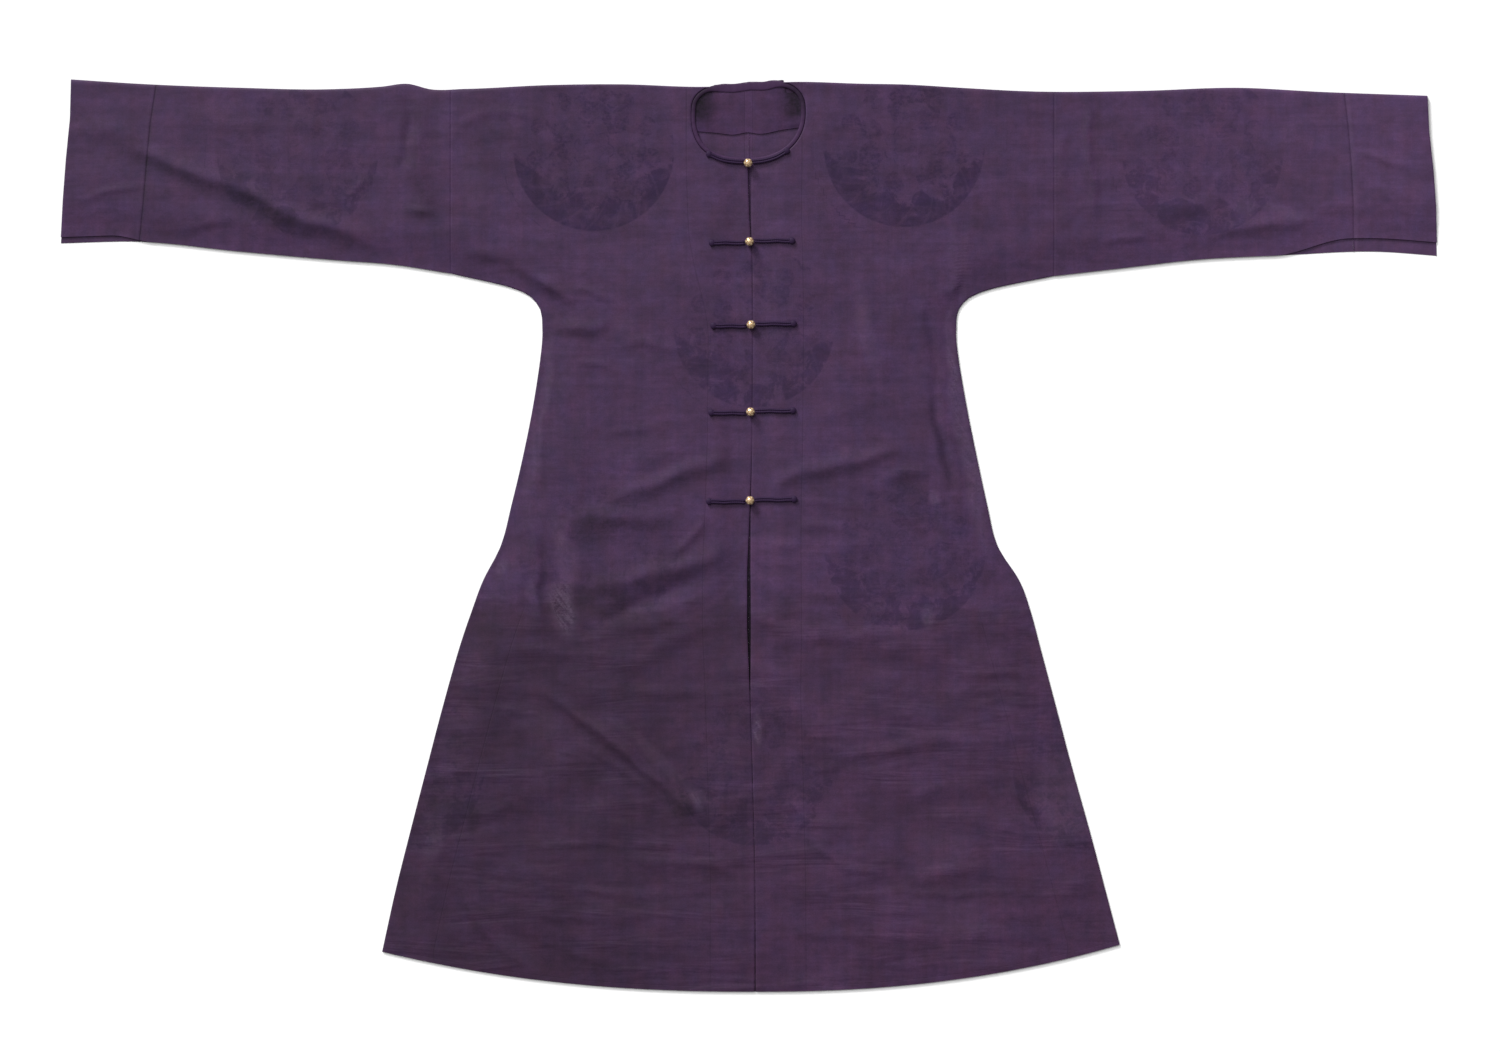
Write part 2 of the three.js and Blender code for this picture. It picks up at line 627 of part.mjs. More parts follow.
function ballGeometry(frog, foot) {
  const radius = ball.diameter / 2;
  const profile = [new THREE.Vector2(0, -radius)];
  for (const turn of ball.rings) {
    const angle = THREE.MathUtils.degToRad(turn);
    profile.push(new THREE.Vector2(radius * Math.cos(angle), radius * Math.sin(angle)));
  }
  profile.push(new THREE.Vector2(0, radius));
  const geometry = new THREE.LatheGeometry(profile, ball.sides);
  geometry.rotateX(Math.PI / 2);
  geometry.translate(frog.x, frog.y, foot + radius);
  return geometry;
}

frogs.forEach((frog, index) => {
  const number = index + 1;
  const atNeck = index === 0;
  const footAt = atNeck
    ? () => bindingTop + seamGap
    : (x, y) => frontTop(x, y) + seamGap;
  const points = (side) => (atNeck ? topCordPoints(side) : frogPoints(frog, side));
  addPiece(`button_${number}`, ballGeometry(frog, footAt(frog.x, frog.y)), 'gilt');
  addPiece(`tab_${number}`, cordGeometry(points('right'), footAt), 'cord');
  addPiece(`loop_${number}`, cordGeometry(points('left'), footAt), 'cord');
});

export default surcoat;
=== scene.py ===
import math
from collections import namedtuple

import bpy
import numpy as np
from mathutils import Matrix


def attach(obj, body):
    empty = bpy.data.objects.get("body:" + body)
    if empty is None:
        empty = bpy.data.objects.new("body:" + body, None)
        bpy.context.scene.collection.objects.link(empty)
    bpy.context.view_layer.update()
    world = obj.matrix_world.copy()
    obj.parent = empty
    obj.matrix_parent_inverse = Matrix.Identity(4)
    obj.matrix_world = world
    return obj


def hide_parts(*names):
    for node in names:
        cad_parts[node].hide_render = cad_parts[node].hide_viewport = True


# A long surcoat of thin purple silk damask, laid flat with its front up. X runs to the wearer's
# left, Y to the neck, Z up from the table. Right and left are the wearer's.
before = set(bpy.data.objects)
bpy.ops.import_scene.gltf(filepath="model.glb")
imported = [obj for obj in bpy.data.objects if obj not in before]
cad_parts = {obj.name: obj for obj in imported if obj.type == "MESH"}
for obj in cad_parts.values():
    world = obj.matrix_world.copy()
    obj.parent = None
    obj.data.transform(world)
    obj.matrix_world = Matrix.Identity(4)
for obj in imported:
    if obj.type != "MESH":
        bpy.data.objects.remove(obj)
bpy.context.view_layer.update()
bpy.ops.object.select_all(action="DESELECT")
mm = 0.001

# Table, light and camera. The table is a plain white board. Two soft lights, a low and a high
# one, stand beyond the neck end and a white room fills the rest. The camera looks straight down.
bpy.ops.mesh.primitive_plane_add(size=14, location=(0, 0, 0))
table_top = bpy.context.object
table_top.name = "table_top"
white_board = bpy.data.materials.new("white_board")
white_board.use_nodes = True
board_shader = white_board.node_tree.nodes["Principled BSDF"]
board_shader.inputs["Base Color"].default_value = (0.93, 0.93, 0.93, 1)
board_shader.inputs["Roughness"].default_value = 0.9
table_top.data.materials.append(white_board)

lamp_turn = math.radians(30)
for height, strength, softness in ((25, 3.6, 16), (56, 1.6, 40)):
    bpy.ops.object.light_add(type="SUN", location=(0, 3, 2))
    lamp = bpy.context.object
    lamp.data.energy = strength
    lamp.data.angle = math.radians(softness)
    lamp.rotation_euler = (math.radians(height - 90), 0, lamp_turn)

room = bpy.data.worlds.new("white_room")
room.use_nodes = True
room.node_tree.nodes["Background"].inputs["Color"].default_value = (1, 1, 1, 1)
room.node_tree.nodes["Background"].inputs["Strength"].default_value = 0.31
bpy.context.scene.world = room
bpy.context.scene.view_settings.view_transform = "Standard"

picture_width = 1.8
lens = 100
sensor = 36
camera_height = picture_width * lens / sensor
bpy.ops.object.camera_add(location=(0.0014, 0.0119, camera_height), rotation=(0, 0, 0))
camera = bpy.context.object
camera.data.lens = lens
camera.data.sensor_width = sensor
bpy.context.scene.camera = camera

# The silk. A figured damask, dyed dark purple: a satin ground with a soft sheen, streaked by
# its threads, and woven roundels that only show as a darker and rougher weave.
def add_node(tree, kind, inputs=None, **settings):
    node = tree.nodes.new(kind)
    for key, value in settings.items():
        setattr(node, key, value)
    for key, value in (inputs or {}).items():
        if isinstance(value, bpy.types.NodeSocket):
            tree.links.new(value, node.inputs[key])
        else:
            node.inputs[key].default_value = value
    return node


def tree_of(*values):
    """The node tree of the first socket among the values."""
    return next(value.id_data for value in values if isinstance(value, bpy.types.NodeSocket))


def calc(operation, *values):
    tree = tree_of(*values)
    return add_node(tree, "ShaderNodeMath", dict(enumerate(values)), operation=operation).outputs[0]


def times(a, b):
    return calc("MULTIPLY", a, b)


def plus(a, b):
    return calc("ADD", a, b)


def minus(a, b):
    return calc("SUBTRACT", a, b)


def scaled(a, factor, offset):
    return calc("MULTIPLY_ADD", a, factor, offset)


def highest(a, b):
    return calc("MAXIMUM", a, b)


def lowest(a, b):
    return calc("MINIMUM", a, b)


def size_of(a):
    return calc("ABSOLUTE", a)


def mix(share, low, high):
    inputs = {0: share, 2: low, 3: high}
    return add_node(tree_of(share), "ShaderNodeMix", inputs, data_type="FLOAT").outputs[0]


def ramp(value, low, high, to_low=0.0, to_high=1.0):
    inputs = {"Value": value, "From Min": low, "From Max": high,
              "To Min": to_low, "To Max": to_high}
    node = add_node(tree_of(value), "ShaderNodeMapRange", inputs, interpolation_type="SMOOTHSTEP")
    return node.outputs[0]


def blend(share, low, high, how="MIX"):
    tree = tree_of(share, low, high)
    inputs = {0: share, 6: low, 7: high}
    node = add_node(tree, "ShaderNodeMix", inputs, data_type="RGBA", blend_type=how)
    return node.outputs[2]


def noise(place, stretch, scale, detail=3.0, roughness=0.5, turn=0.0, warp=0.0):
    tree = tree_of(place)
    turned = add_node(tree, "ShaderNodeMapping", {"Vector": place, "Rotation": (0, 0, turn)})
    mapping = add_node(tree, "ShaderNodeMapping", {"Vector": turned.outputs[0], "Scale": stretch})
    inputs = {"Vector": mapping.outputs[0], "Scale": scale, "Detail": detail,
              "Roughness": roughness, "Distortion": warp}
    return add_node(tree, "ShaderNodeTexNoise", inputs).outputs[0]


def new_finish(name):
    material = bpy.data.materials.new(name)
    material.use_nodes = True
    return material, material.node_tree, material.node_tree.nodes["Principled BSDF"]


def near_line(distance, place, half_width):
    """1 on the line and 0 from half a width away."""
    return ramp(size_of(minus(distance, place)), 0.0, half_width, 1.0, 0.0)


def roundel_figure(figure, blotch, fine):
    """How dark the woven figure is, from the place inside a roundel: a flower and leaf sprays in
    a wreath of overlapping leaves, which is closest and darkest round the bottom."""
    split = add_node(tree_of(figure), "ShaderNodeSeparateXYZ", {0: figure})
    across, up, strength = split.outputs
    square = plus(times(across, across), times(up, up))
    radius = calc("SQRT", square)
    turn = calc("ARCTAN2", up, across)
    low = ramp(up, 0.12, -0.34)
    uneven = scaled(blotch, -0.13, 0.06)

    leaf_ends = size_of(calc("COSINE", scaled(turn, 4.5, 0.7)))
    inner = scaled(leaf_ends, 0.13, uneven)
    swing = calc("COSINE", scaled(turn, 2.0, 0.9))
    inner = scaled(swing, 0.07, inner)
    inner = plus(inner, scaled(low, -0.38, 0.98))
    wreath = ramp(minus(radius, inner), -0.03, 0.06)
    slant = scaled(radius, 9.0, times(turn, 9.0))
    rib = ramp(size_of(calc("SINE", slant)), 0.0, 0.35)
    wreath = times(wreath, scaled(rib, 0.34, 0.66))
    wreath = times(wreath, scaled(blotch, 0.5, 0.5))
    kept = ramp(blotch, minus(0.70, strength), minus(1.15, strength))

    lines = []
    for petals, reach in ((5, 0.12), (7, 0.23)):
        lobe = size_of(calc("COSINE", times(turn, petals / 2)))
        rim = scaled(lobe, 0.24 * reach, 0.84 * reach)
        lines.append(near_line(radius, rim, 0.022))
        lines.append(times(ramp(minus(rim, radius), 0.0, 0.04), 0.45))
    for leaves, middle, half_length, offset in ((7, 0.44, 0.17, 0.3), (11, 0.70, 0.14, 1.4)):
        wave = calc("COSINE", scaled(turn, leaves, offset))
        off = calc("DIVIDE", minus(radius, middle), half_length)
        width = minus(1.0, times(off, off))
        leaf = minus(times(width, 1.5), minus(1.0, wave))
        lines.append(ramp(leaf, 0.0, 0.3))
    for start, middle, swell in ((1.25, 0.56, 0.22), (-2.75, 0.48, 0.14), (-0.35, 0.50, 0.13)):
        off_turn = calc("COSINE", minus(turn, start))
        curl = scaled(calc("SINE", minus(turn, start)), 0.16, middle)
        width = times(ramp(off_turn, 0.72, 1.0), swell)
        gap = size_of(minus(radius, curl))
        lines.append(ramp(minus(width, gap), 0.0, 0.03))
    sprays = lines[0]
    for line in lines[1:]:
        sprays = highest(sprays, line)
    sprays = times(sprays, times(blotch, scaled(fine, 0.6, 0.4)))
    sprays = times(sprays, 0.95)
    ground = times(blotch, scaled(low, 0.10, 0.20))
    dark = highest(highest(wreath, sprays), ground)
    inside = ramp(radius, 0.97, 0.995, 1.0, 0.0)
    shown = times(times(dark, inside), kept)
    return times(shown, scaled(strength, 0.6, 0.4))


silk, tree, shader = new_finish("purple_silk_damask")
place = add_node(tree, "ShaderNodeTexCoord").outputs["Object"]
axes = add_node(tree, "ShaderNodeSeparateXYZ", {0: place}).outputs
edges = add_node(tree, "ShaderNodeAttribute", attribute_name="edges").outputs["Vector"]
from_front, from_side, from_hem = add_node(tree, "ShaderNodeSeparateXYZ", {0: edges}).outputs
figure = add_node(tree, "ShaderNodeAttribute", attribute_name="figure").outputs["Vector"]
tone = add_node(tree, "ShaderNodeAttribute", attribute_name="tone").outputs["Fac"]

violet = (0.0455, 0.0196, 0.0588, 1)
plum = (0.0402, 0.0160, 0.0462, 1)
clouds = noise(place, (1, 1.6, 1), 7.0, 4.0, 0.55)
uneven_y = plus(axes[1], scaled(clouds, 0.20, -0.10))
upper_part = ramp(uneven_y, -0.110, -0.060)
cool_share = plus(upper_part, scaled(clouds, 2.0, -1.0))
colour = blend(cool_share, plum, violet)
right_half = ramp(axes[0], 0.006, -0.002)
right_far = ramp(axes[0], -0.02, -0.16, 0.45, 1.0)
right_half_tone = times(right_half, right_far)
right_shade = times(right_half_tone, scaled(upper_part, 0.23, -0.26))

weft_streak = noise(place, (14, 260, 1), 1.0, 4.0, 0.6)
warp_streak = noise(place, (230, 9, 1), 1.0, 3.0, 0.6)
grain = noise(place, (1, 1, 1), 620.0, 3.0, 0.7)
# Up to a fifth brighter towards the left cuff.
left_end = ramp(axes[0], 0.30, 0.78, 1.0, 1.20)
shades = scaled(weft_streak, 0.28, 0.86)
for factor in (scaled(warp_streak, 0.20, 0.90), scaled(grain, 0.8, 0.60),
               plus(right_shade, 1.0), left_end):
    shades = times(shades, factor)
drift = noise(place, (1, 1.5, 1), 15.0, 5.0, 0.65)
mottle = noise(place, (1, 1.2, 1), 85.0, 4.0, 0.7)
warp_band = noise(place, (52, 2.6, 1), 1.0, 4.0, 0.6)
weft_band = noise(place, (5, 66, 1), 1.0, 4.0, 0.6, warp=0.4)
for uneven, share in ((drift, 0.84), (mottle, 0.76), (warp_band, 0.50), (weft_band, 0.50)):
    shades = times(shades, scaled(uneven, share, 1 - share / 2))

# The tone attribute: its bright part is wear with painted sheen, broken by speckle and rubbed
# streaks; its dark part is painted shade of creases, folds, seams, the front slit and the neck.
speckle = ramp(noise(place, (1, 1.3, 1), 210.0, 3.0, 0.6), 0.36, 0.64)
rubbed = ramp(noise(place, (42, 190, 1), 1.0, 3.0, 0.6, turn=0.95, warp=0.5), 0.42, 0.62)
wear_and_sheen_share = plus(times(speckle, 0.55), times(rubbed, 0.75))
strong_wear_and_sheen = ramp(tone, 0.20, 0.42, 0.15, 0.75)
wear_and_sheen_share = mix(strong_wear_and_sheen, 0.5, wear_and_sheen_share)
ripple = times(highest(tone, 0.0), wear_and_sheen_share)
painted_shade_tone = times(lowest(tone, 0.0), scaled(speckle, 0.3, 0.85))
wear_sheen_and_shade_tone = plus(times(ripple, 0.7), painted_shade_tone)
shades = times(shades, plus(wear_sheen_and_shade_tone, 1.0))

left_facing = 0.0610
vent_facing = 0.062
hem_turning = 0.006
back_seam_half = 0.0048
right_line = ramp(axes[1], 0.235, 0.36, 0.0530, 0.0730)
above_front = ramp(axes[1], 0.4455, 0.4465)
facing_place = mix(right_half, left_facing, right_line)
facing_line = near_line(from_front, facing_place, 0.0012)
vent_line = near_line(from_side, vent_facing, 0.0012)
vent_line = times(vent_line, ramp(axes[1], -0.06, -0.12))
hem_line = times(near_line(from_hem, hem_turning, 0.0008), 0.6)
back_seam = near_line(size_of(axes[0]), back_seam_half, 0.0010)
back_seam = times(back_seam, above_front)
lines = highest(facing_line, highest(vent_line, hem_line))
lines = highest(lines, times(back_seam, 0.9))
shades = times(shades, scaled(lines, -0.14, 1.0))
seam_band = ramp(size_of(axes[0]), 0.0052, 0.0044)
seam_band = times(seam_band, above_front)
shades = times(shades, scaled(seam_band, 0.10, 1.0))

blotch = ramp(noise(place, (1, 1, 1), 48.0, 6.0, 0.7, warp=0.6), 0.36, 0.58)
woven = roundel_figure(figure, blotch, speckle)
hue = noise(place, (1.6, 1, 1), 26.0, 5.0, 0.7)
channels = []
for darker, hue_share, hue_least in ((-0.46, 0.5, 0.75), (-0.50, 0.0, 1.0), (-0.33, -0.3, 1.15)):
    woven_shade = times(shades, scaled(woven, darker, 1.0))
    channels.append(times(woven_shade, scaled(hue, hue_share, hue_least)))
shade_colour = add_node(tree, "ShaderNodeCombineXYZ", dict(enumerate(channels)))
colour = blend(1.0, colour, shade_colour.outputs[0], "MULTIPLY")
# Painted grey sheen towards the left cuff, and the bright patches of wear and painted sheen turn
# paler.
painted_sheen_left_end = ramp(axes[0], 0.30, 0.78, 0.0, 0.035)
pale_wear_and_sheen_share = scaled(ripple, 0.55, painted_sheen_left_end)
colour = blend(pale_wear_and_sheen_share, colour, (0.150, 0.115, 0.165, 1))
tree.links.new(colour, shader.inputs["Base Color"])

gloss = scaled(woven, 0.10, 0.54)
gloss = plus(gloss, times(weft_streak, 0.10))
tree.links.new(gloss, shader.inputs["Roughness"])
shader.inputs["Specular IOR Level"].default_value = 0.20
shader.inputs["Sheen Weight"].default_value = 0.02
shader.inputs["Sheen Roughness"].default_value = 0.4
shader.inputs["Sheen Tint"].default_value = (0.72, 0.66, 0.85, 1)

puckers = noise(place, (12, 18, 1), 1.0, 3.0, 0.5)
skirt_waves = noise(place, (6, 36, 1), 1.0, 3.0, 0.5, warp=0.5)
waved = ramp(noise(place, (1, 1.4, 1), 7.5, 2.0), 0.38, 0.6, 0.25, 1.25)
skirt_waves = times(times(skirt_waves, waved), scaled(upper_part, -0.75, 1.0))
threads = plus(weft_streak, times(warp_streak, 0.6))
relief = times(puckers, 2.2)
for layer, height in ((threads, 0.03), (skirt_waves, 3.2), (grain, 0.02),
                      (lines, -0.16), (ripple, 1.2)):
    relief = plus(relief, times(layer, height))
bump = add_node(tree, "ShaderNodeBump", {"Height": relief, "Distance": 0.0012, "Strength": 0.6})
tree.links.new(bump.outputs[0], shader.inputs["Normal"])

# Body, right and left. Each is one loom width of the silk from the front hem over the shoulder
# to the back hem, slit open down the front, sewn to the other at the centre back and to the
# sleeve at the side. The two layers lie on each other and crease unevenly.
sign = {"right": -1, "left": 1}
wall = 1.0
seam_gap = 0.3
silk_thickness = 0.45
sleeve_seam = {"right": -357.4, "left": 366.2}
sewn_gap = 0.02
neck_margin = 0.25
seam_roll = 0.35
seam_roll_width = 0.9

Neck = namedtuple("Neck", "x y depth half fullness top top_fullness end")
neck = {
    "right": Neck(-0.7, 508, 60.5, 68.7, fullness=2.7, top=36, top_fullness=2.6, end=142.4),
    "left": Neck(-0.7, 508, 60.5, 68.7, fullness=2.2, top=40, top_fullness=2.8, end=148.9),
}

# Sections across the body from the hem up: height on the centre front, turn round the neck in
# degrees, and where the section meets the side edge or the sleeve seam.
Section = namedtuple("Section", "mid turn right_x right_y left_x left_y")
sections = [Section(*row) for row in [
    (-547.3, 0, -439.9, -499.3, 444.9, -490.9), (-470.0, 0, -423.7, -425.5, 427.6, -425.5),
    (-380.0, 0, -405.7, -353.5, 408.5, -353.5), (-292.0, 0, -387.1, -281.5, 388.4, -281.5),
    (-212.0, 0, -368.3, -209.5, 369.4, -209.5), (-138.0, 0, -348.1, -137.5, 350.3, -137.5),
    (-88.0, 0, -332.0, -89.5, 337.4, -89.5), (-52.0, 0, -318.5, -53.5, 324.1, -53.5),
    (-10.0, 0, -297.2, -11.5, 297.8, -11.5), (40.0, 0, -284.7, 36.5, 285.8, 36.5),
    (98.0, 0, -271.9, 90.5, 274.1, 90.5), (158.0, 0, -259.7, 150.5, 262.0, 150.5),
    (216.0, 0, -250.4, 210.5, 251.7, 210.5), (262.0, 0, -247.7, 246.5, 248.7, 246.5),
    (300.0, 0, -252.5, 275.3, 254.3, 275.3), (338.0, 0, -279.0, 295.4, 285.0, 294.0),
    (385.0, 0, -357.4, 314.3, 366.2, 311.3), (446.3, 0, -357.4, 365.0, 366.2, 362.0),
    (446.3, 38, -357.4, 410.0, 366.2, 408.0), (446.3, 72, -357.4, 455.0, 366.2, 452.0),
    (446.3, 106, -357.4, 498.0, 366.2, 496.0),
]]
hem_bow = 2.25
seam_row = 16
arm_row = 13

# Where the front edges meet and how far they stand apart, from the hem up.
FrontEdge = namedtuple("FrontEdge", "y x gap")
front_edges = [FrontEdge(*row) for row in [
    (-547, 7.6, 1.2), (-408, 7.4, 0.2), (-276, 4.0, 0.4), (-196, 1.5, 0.4), (-165, 1.0, 2.0),
    (-110, 0.2, 4.8), (-40, 0.0, 4.2), (25, 1.4, 1.4), (110, 3.8, 0.2), (250, 5.0, 0.2),
    (340, 3.8, 0.4), (360, 2.4, 1.3), (385, 1.4, 2.5), (446.3, 0.8, 4.8),
]]

# The fold along the top from the right cuff to the left one, and the back neck.
Point = namedtuple("Point", "x y")
top_fold = [Point(*row) for row in [
    (-813, 547.0), (-731, 541.7), (-611, 537.0), (-503, 535.2), (-440, 538.4), (-409, 541.7),
    (-382, 535.2), (-340, 535.6), (-240, 540.2), (-150, 541.1), (-60, 538.1), (62, 544.1),
    (134, 541.9), (190, 540.8), (250, 537.2), (340, 532.6), (470, 533.3), (589, 536.9),
    (685, 532.1), (814, 527.4),
]]
back_neck = [Point(*row) for row in [
    (-64, 538.1), (-40, 541.5), (-18, 541.6), (1, 544.2), (11, 543.2), (25, 545.6), (43, 547.3),
    (66, 544.1),
]]
sleeve_under = {
    "right": [Point(-825.4, 350.6), Point(-731, 352.4), Point(-611, 340.7),
              Point(-490, 329.9), Point(-428, 325.1), Point(-357.4, 314.3)],
    "left": [Point(366.2, 311.3), Point(445, 320.3), Point(541, 331.1),
             Point(637, 335.9), Point(757, 340.4), Point(825.4, 335.6)],
}
WristStep = namedtuple("WristStep", "size start end")
wrist_step = {"right": WristStep(7.3, 715, 765), "left": WristStep(16, 630, 720)}

# Creases of the front layer: both ends, how far the middle bows to the left of the way between
# them, how soon it fades on either side, how far it stands up or sinks, and how much painted
# shade darkens the silk on its right, the side turned away from the lamps.
Crease = namedtuple("Crease", "x1 y1 x2 y2 bow width rise shade")
creases = [Crease(*row) for row in [
    (-764, 473, -539, 383, 3.6, 14.9, 2.1, 0.3), (-625, 417, -416, 340, -3.6, 14.9, 2.1, 0.3),
    (-827, 489, -719, 472, 4.8, 14, 0.84, 0.1), (-803, 401, -721, 415, 8.4, 6, 0.84, 0.1),
    (-719, 363, -615, 377, 2.4, 8, 0.99, 0.15), (-491, 395, -452, 430, 0, 7, 0.84, 0.1),
    (-417, 392, -375, 387, 0, 6, 1.1, 0.15), (-408, 535, -414, 427, 1.2, 8, -1.1, 0.1),
    (-393, 537, -390, 376, -2.4, 12, 1.1, 0.15), (-356, 490, -249, 495, 14.4, 8, 0.68, 0.06),
    (-347, 340, -283, 327, 2.4, 9, 0.99, 0.15), (-695, 511, -584, 489, -3.6, 18, 0.6, 0.06),
    (-555, 499, -476, 463, 4.8, 20, 0.68, 0.06), (-287, 325, -206, 279, 2.4, 11.5, 1.6, 0.3),
    (-212, 296, -165, 278, 2.4, 7, 0.91, 0.1), (-240, 255, -167, 247, -1.2, 10.3, 1.8, 0.3),
    (-152, 231, -81, 224, 2.4, 9, 0.91, 0.1), (-206, 211, -162, 202, 1.2, 6, 0.93, 0.15),
    (-237, 181, -216, 157, 0, 5, 0.7, 0.1), (-175, 118, -87, 129, 2.4, 5, 0.68, 0.06),
    (-155, 79, -71, 109, 3.6, 16, 0.68, 0.06), (-240, 223, -261, 39, 2.4, 9, 1.4, 0.15),
    (-261, 45, -246, -128, -2.4, 8, 1.6, 0.15), (-193, 163, -219, 19, 4.8, 16, 0.7, 0.1),
    (-181, 38, -6, 97, 2.4, 14.9, 2.1, 0.3), (-219, 23, -83, 26, -3.6, 16.1, 1.6, 0.3),
    (-104, -23, -49, 23, -4.8, 7, 1.1, 0.15), (-205, -61, -11, -9, -10.8, 17.2, 2.5, 0.3),
    (-181, -101, -39, -37, -6, 12, -1.8, 0.1), (-152, -117, -80, -99, 1.2, 8, 0.91, 0.1),
    (-131, -137, -17, -104, 4.8, 13, 0.7, 0.1), (-293, -9, -251, 7, 3.6, 4, 0.77, 0.1),
    (268, 376, 245, 229, -3.6, 5, 1.1, 0.15), (253, 355, 240, 253, -2.4, 4.5, 0.91, 0.1),
    (138, 307, 165, 179, 0, 13, 0.91, 0.1), (220, 301, 229, 139, -3.6, 8, -1, 0.1),
    (222, 175, 248, 48, -2.4, 9, -2.0, 0.15), (16, 57, 191, 106, 3.6, 12.6, 1.9, 0.3),
    (55, 39, 157, 38, 0, 3.5, 0.6, 0.06), (155, 65, 217, 74, 2.4, 9, 1.1, 0.15),
    (173, 34, 215, -4, 1.2, 7, 0.98, 0.1), (229, 40, 238, -21, 0, 6, 0.93, 0.15),
    (58, 10, 118, 7, 1.2, 8, 0.91, 0.1), (23, -10, 65, -11, 0, 5, 0.7, 0.1),
    (85, 427, 100, 328, 3.6, 16, 0.6, 0.06), (181, 331, 189, 220, -3.6, 18, 0.7, 0.1),
    (76, 139, 148, 151, 2.4, 14, 0.6, 0.06), (-247, -178, -60, -338, 0, 9, 2.9, 0.2),
    (-215, -243, -104, -315, 2.4, 7, 0.98, 0.1), (-271, -374, -146, -376, 6, 4.5, 0.84, 0.1),
    (-227, -418, -131, -439, 0, 5, 0.7, 0.1), (-275, -459, -185, -457, 1.2, 5, 0.7, 0.1),
    (-149, -489, -32, -491, 1.2, 5, 0.68, 0.06), (-354, -407, -246, -532, -13.2, 10, 1.2, 0.15),
    (-270, -478, -140, -514, -4.8, 8, 0.93, 0.15), (-293, -137, -179, -149, 4.8, 10, 0.68, 0.06),
    (-179, -185, -35, -197, 4.8, 9, 0.68, 0.06), (-347, -197, -251, -212, -4.8, 9, 0.68, 0.06),
    (-335, -429, -8, -431, 1.2, 5, 0.52, 0.06), (-131, -389, -11, -404, 3.6, 8, 0.68, 0.06),
    (-383, -293, -299, -281, 4.8, 12, 0.68, 0.06), (71, -280, 287, -243, 8.4, 12, 1.2, 0.15),
    (60, -362, 157, -403, -7.2, 7, 0.99, 0.15), (247, -170, 359, -166, 1.2, 5, 0.77, 0.1),
    (247, -187, 358, -184, -1.2, 5, 0.77, 0.1), (256, -202, 351, -201, 1.2, 5, 0.7, 0.1),
    (265, -219, 357, -218, 0, 5, 0.7, 0.1), (313, -299, 357, -346, 2.4, 9, 1.1, 0.15),
    (187, -416, 287, -399, 3.6, 12, 0.91, 0.1), (11, -433, 405, -430, 2.4, 4.5, 0.7, 0.1),
    (366, -439, 437, -478, 0, 5, 0.84, 0.1), (66, -285, 115, -278, 0, 5, 0.7, 0.1),
    (25, -125, 157, -118, -3.6, 9, 0.68, 0.06), (109, -185, 229, -197, 4.8, 9, 0.68, 0.06),
    (181, -317, 301, -305, 4.8, 12, 0.7, 0.1), (37, -473, 157, -483, -2.4, 9, 0.68, 0.06),
    (289, -101, 349, -118, 3.6, 8, 0.7, 0.1), (403, 535, 414, 371, 1.2, 5.5, 1.3, 0.15),
    (549, 355, 673, 377, 4.8, 9.2, 1.4, 0.3), (732, 463, 798, 439, 1.2, 6, 0.84, 0.1),
    (751, 423, 795, 380, 0, 4, 0.68, 0.06), (769, 361, 822, 352, 0, 4, 0.68, 0.06),
    (426, 350, 483, 357, 1.2, 6, 0.93, 0.15), (323, 321, 382, 323, 2.4, 6, 0.98, 0.1),
    (460, 487, 517, 463, 3.6, 18, 0.6, 0.06), (373, 511, 381, 361, 0, 8, 0.6, 0.06),
    (637, 487, 697, 463, -3.6, 18, 0.68, 0.06), (493, 385, 565, 403, 3.6, 14, 0.7, 0.1),
]]

# Shallower creases of the back layer, pressed up from the table by the seams and facings.
back_creases = [Crease(*row) for row in [
    (-313, -385, -87, -255, 8, 16, 0.5, 0), (60, -150, 280, -249, -8, 16, 0.5, 0),
    (-158, 17, -82, 223, 6, 14, 0.45, 0), (119, 368, 161, 132, 8, 15, 0.45, 0),
    (-320, -96, -140, -84, 6, 14, 0.4, 0), (152, -399, 368, -361, 6, 15, 0.5, 0),
    (-686, 461, -434, 399, 8, 14, 0.45, 0), (473, 413, 727, 467, -8, 14, 0.45, 0),
    (-770, 381, -750, 499, 4, 12, 0.35, 0), (750, 489, 770, 371, 4, 12, 0.35, 0),
]]
rest_slack = 1.3
loose_slack = 1.2
most_slack = 6.6
edge_ease = 46
hem_ease = 90
back_slack = 0.5
quiet_strip = (14, 40)
slit_shadow_tone = -0.7
slit_top = 20
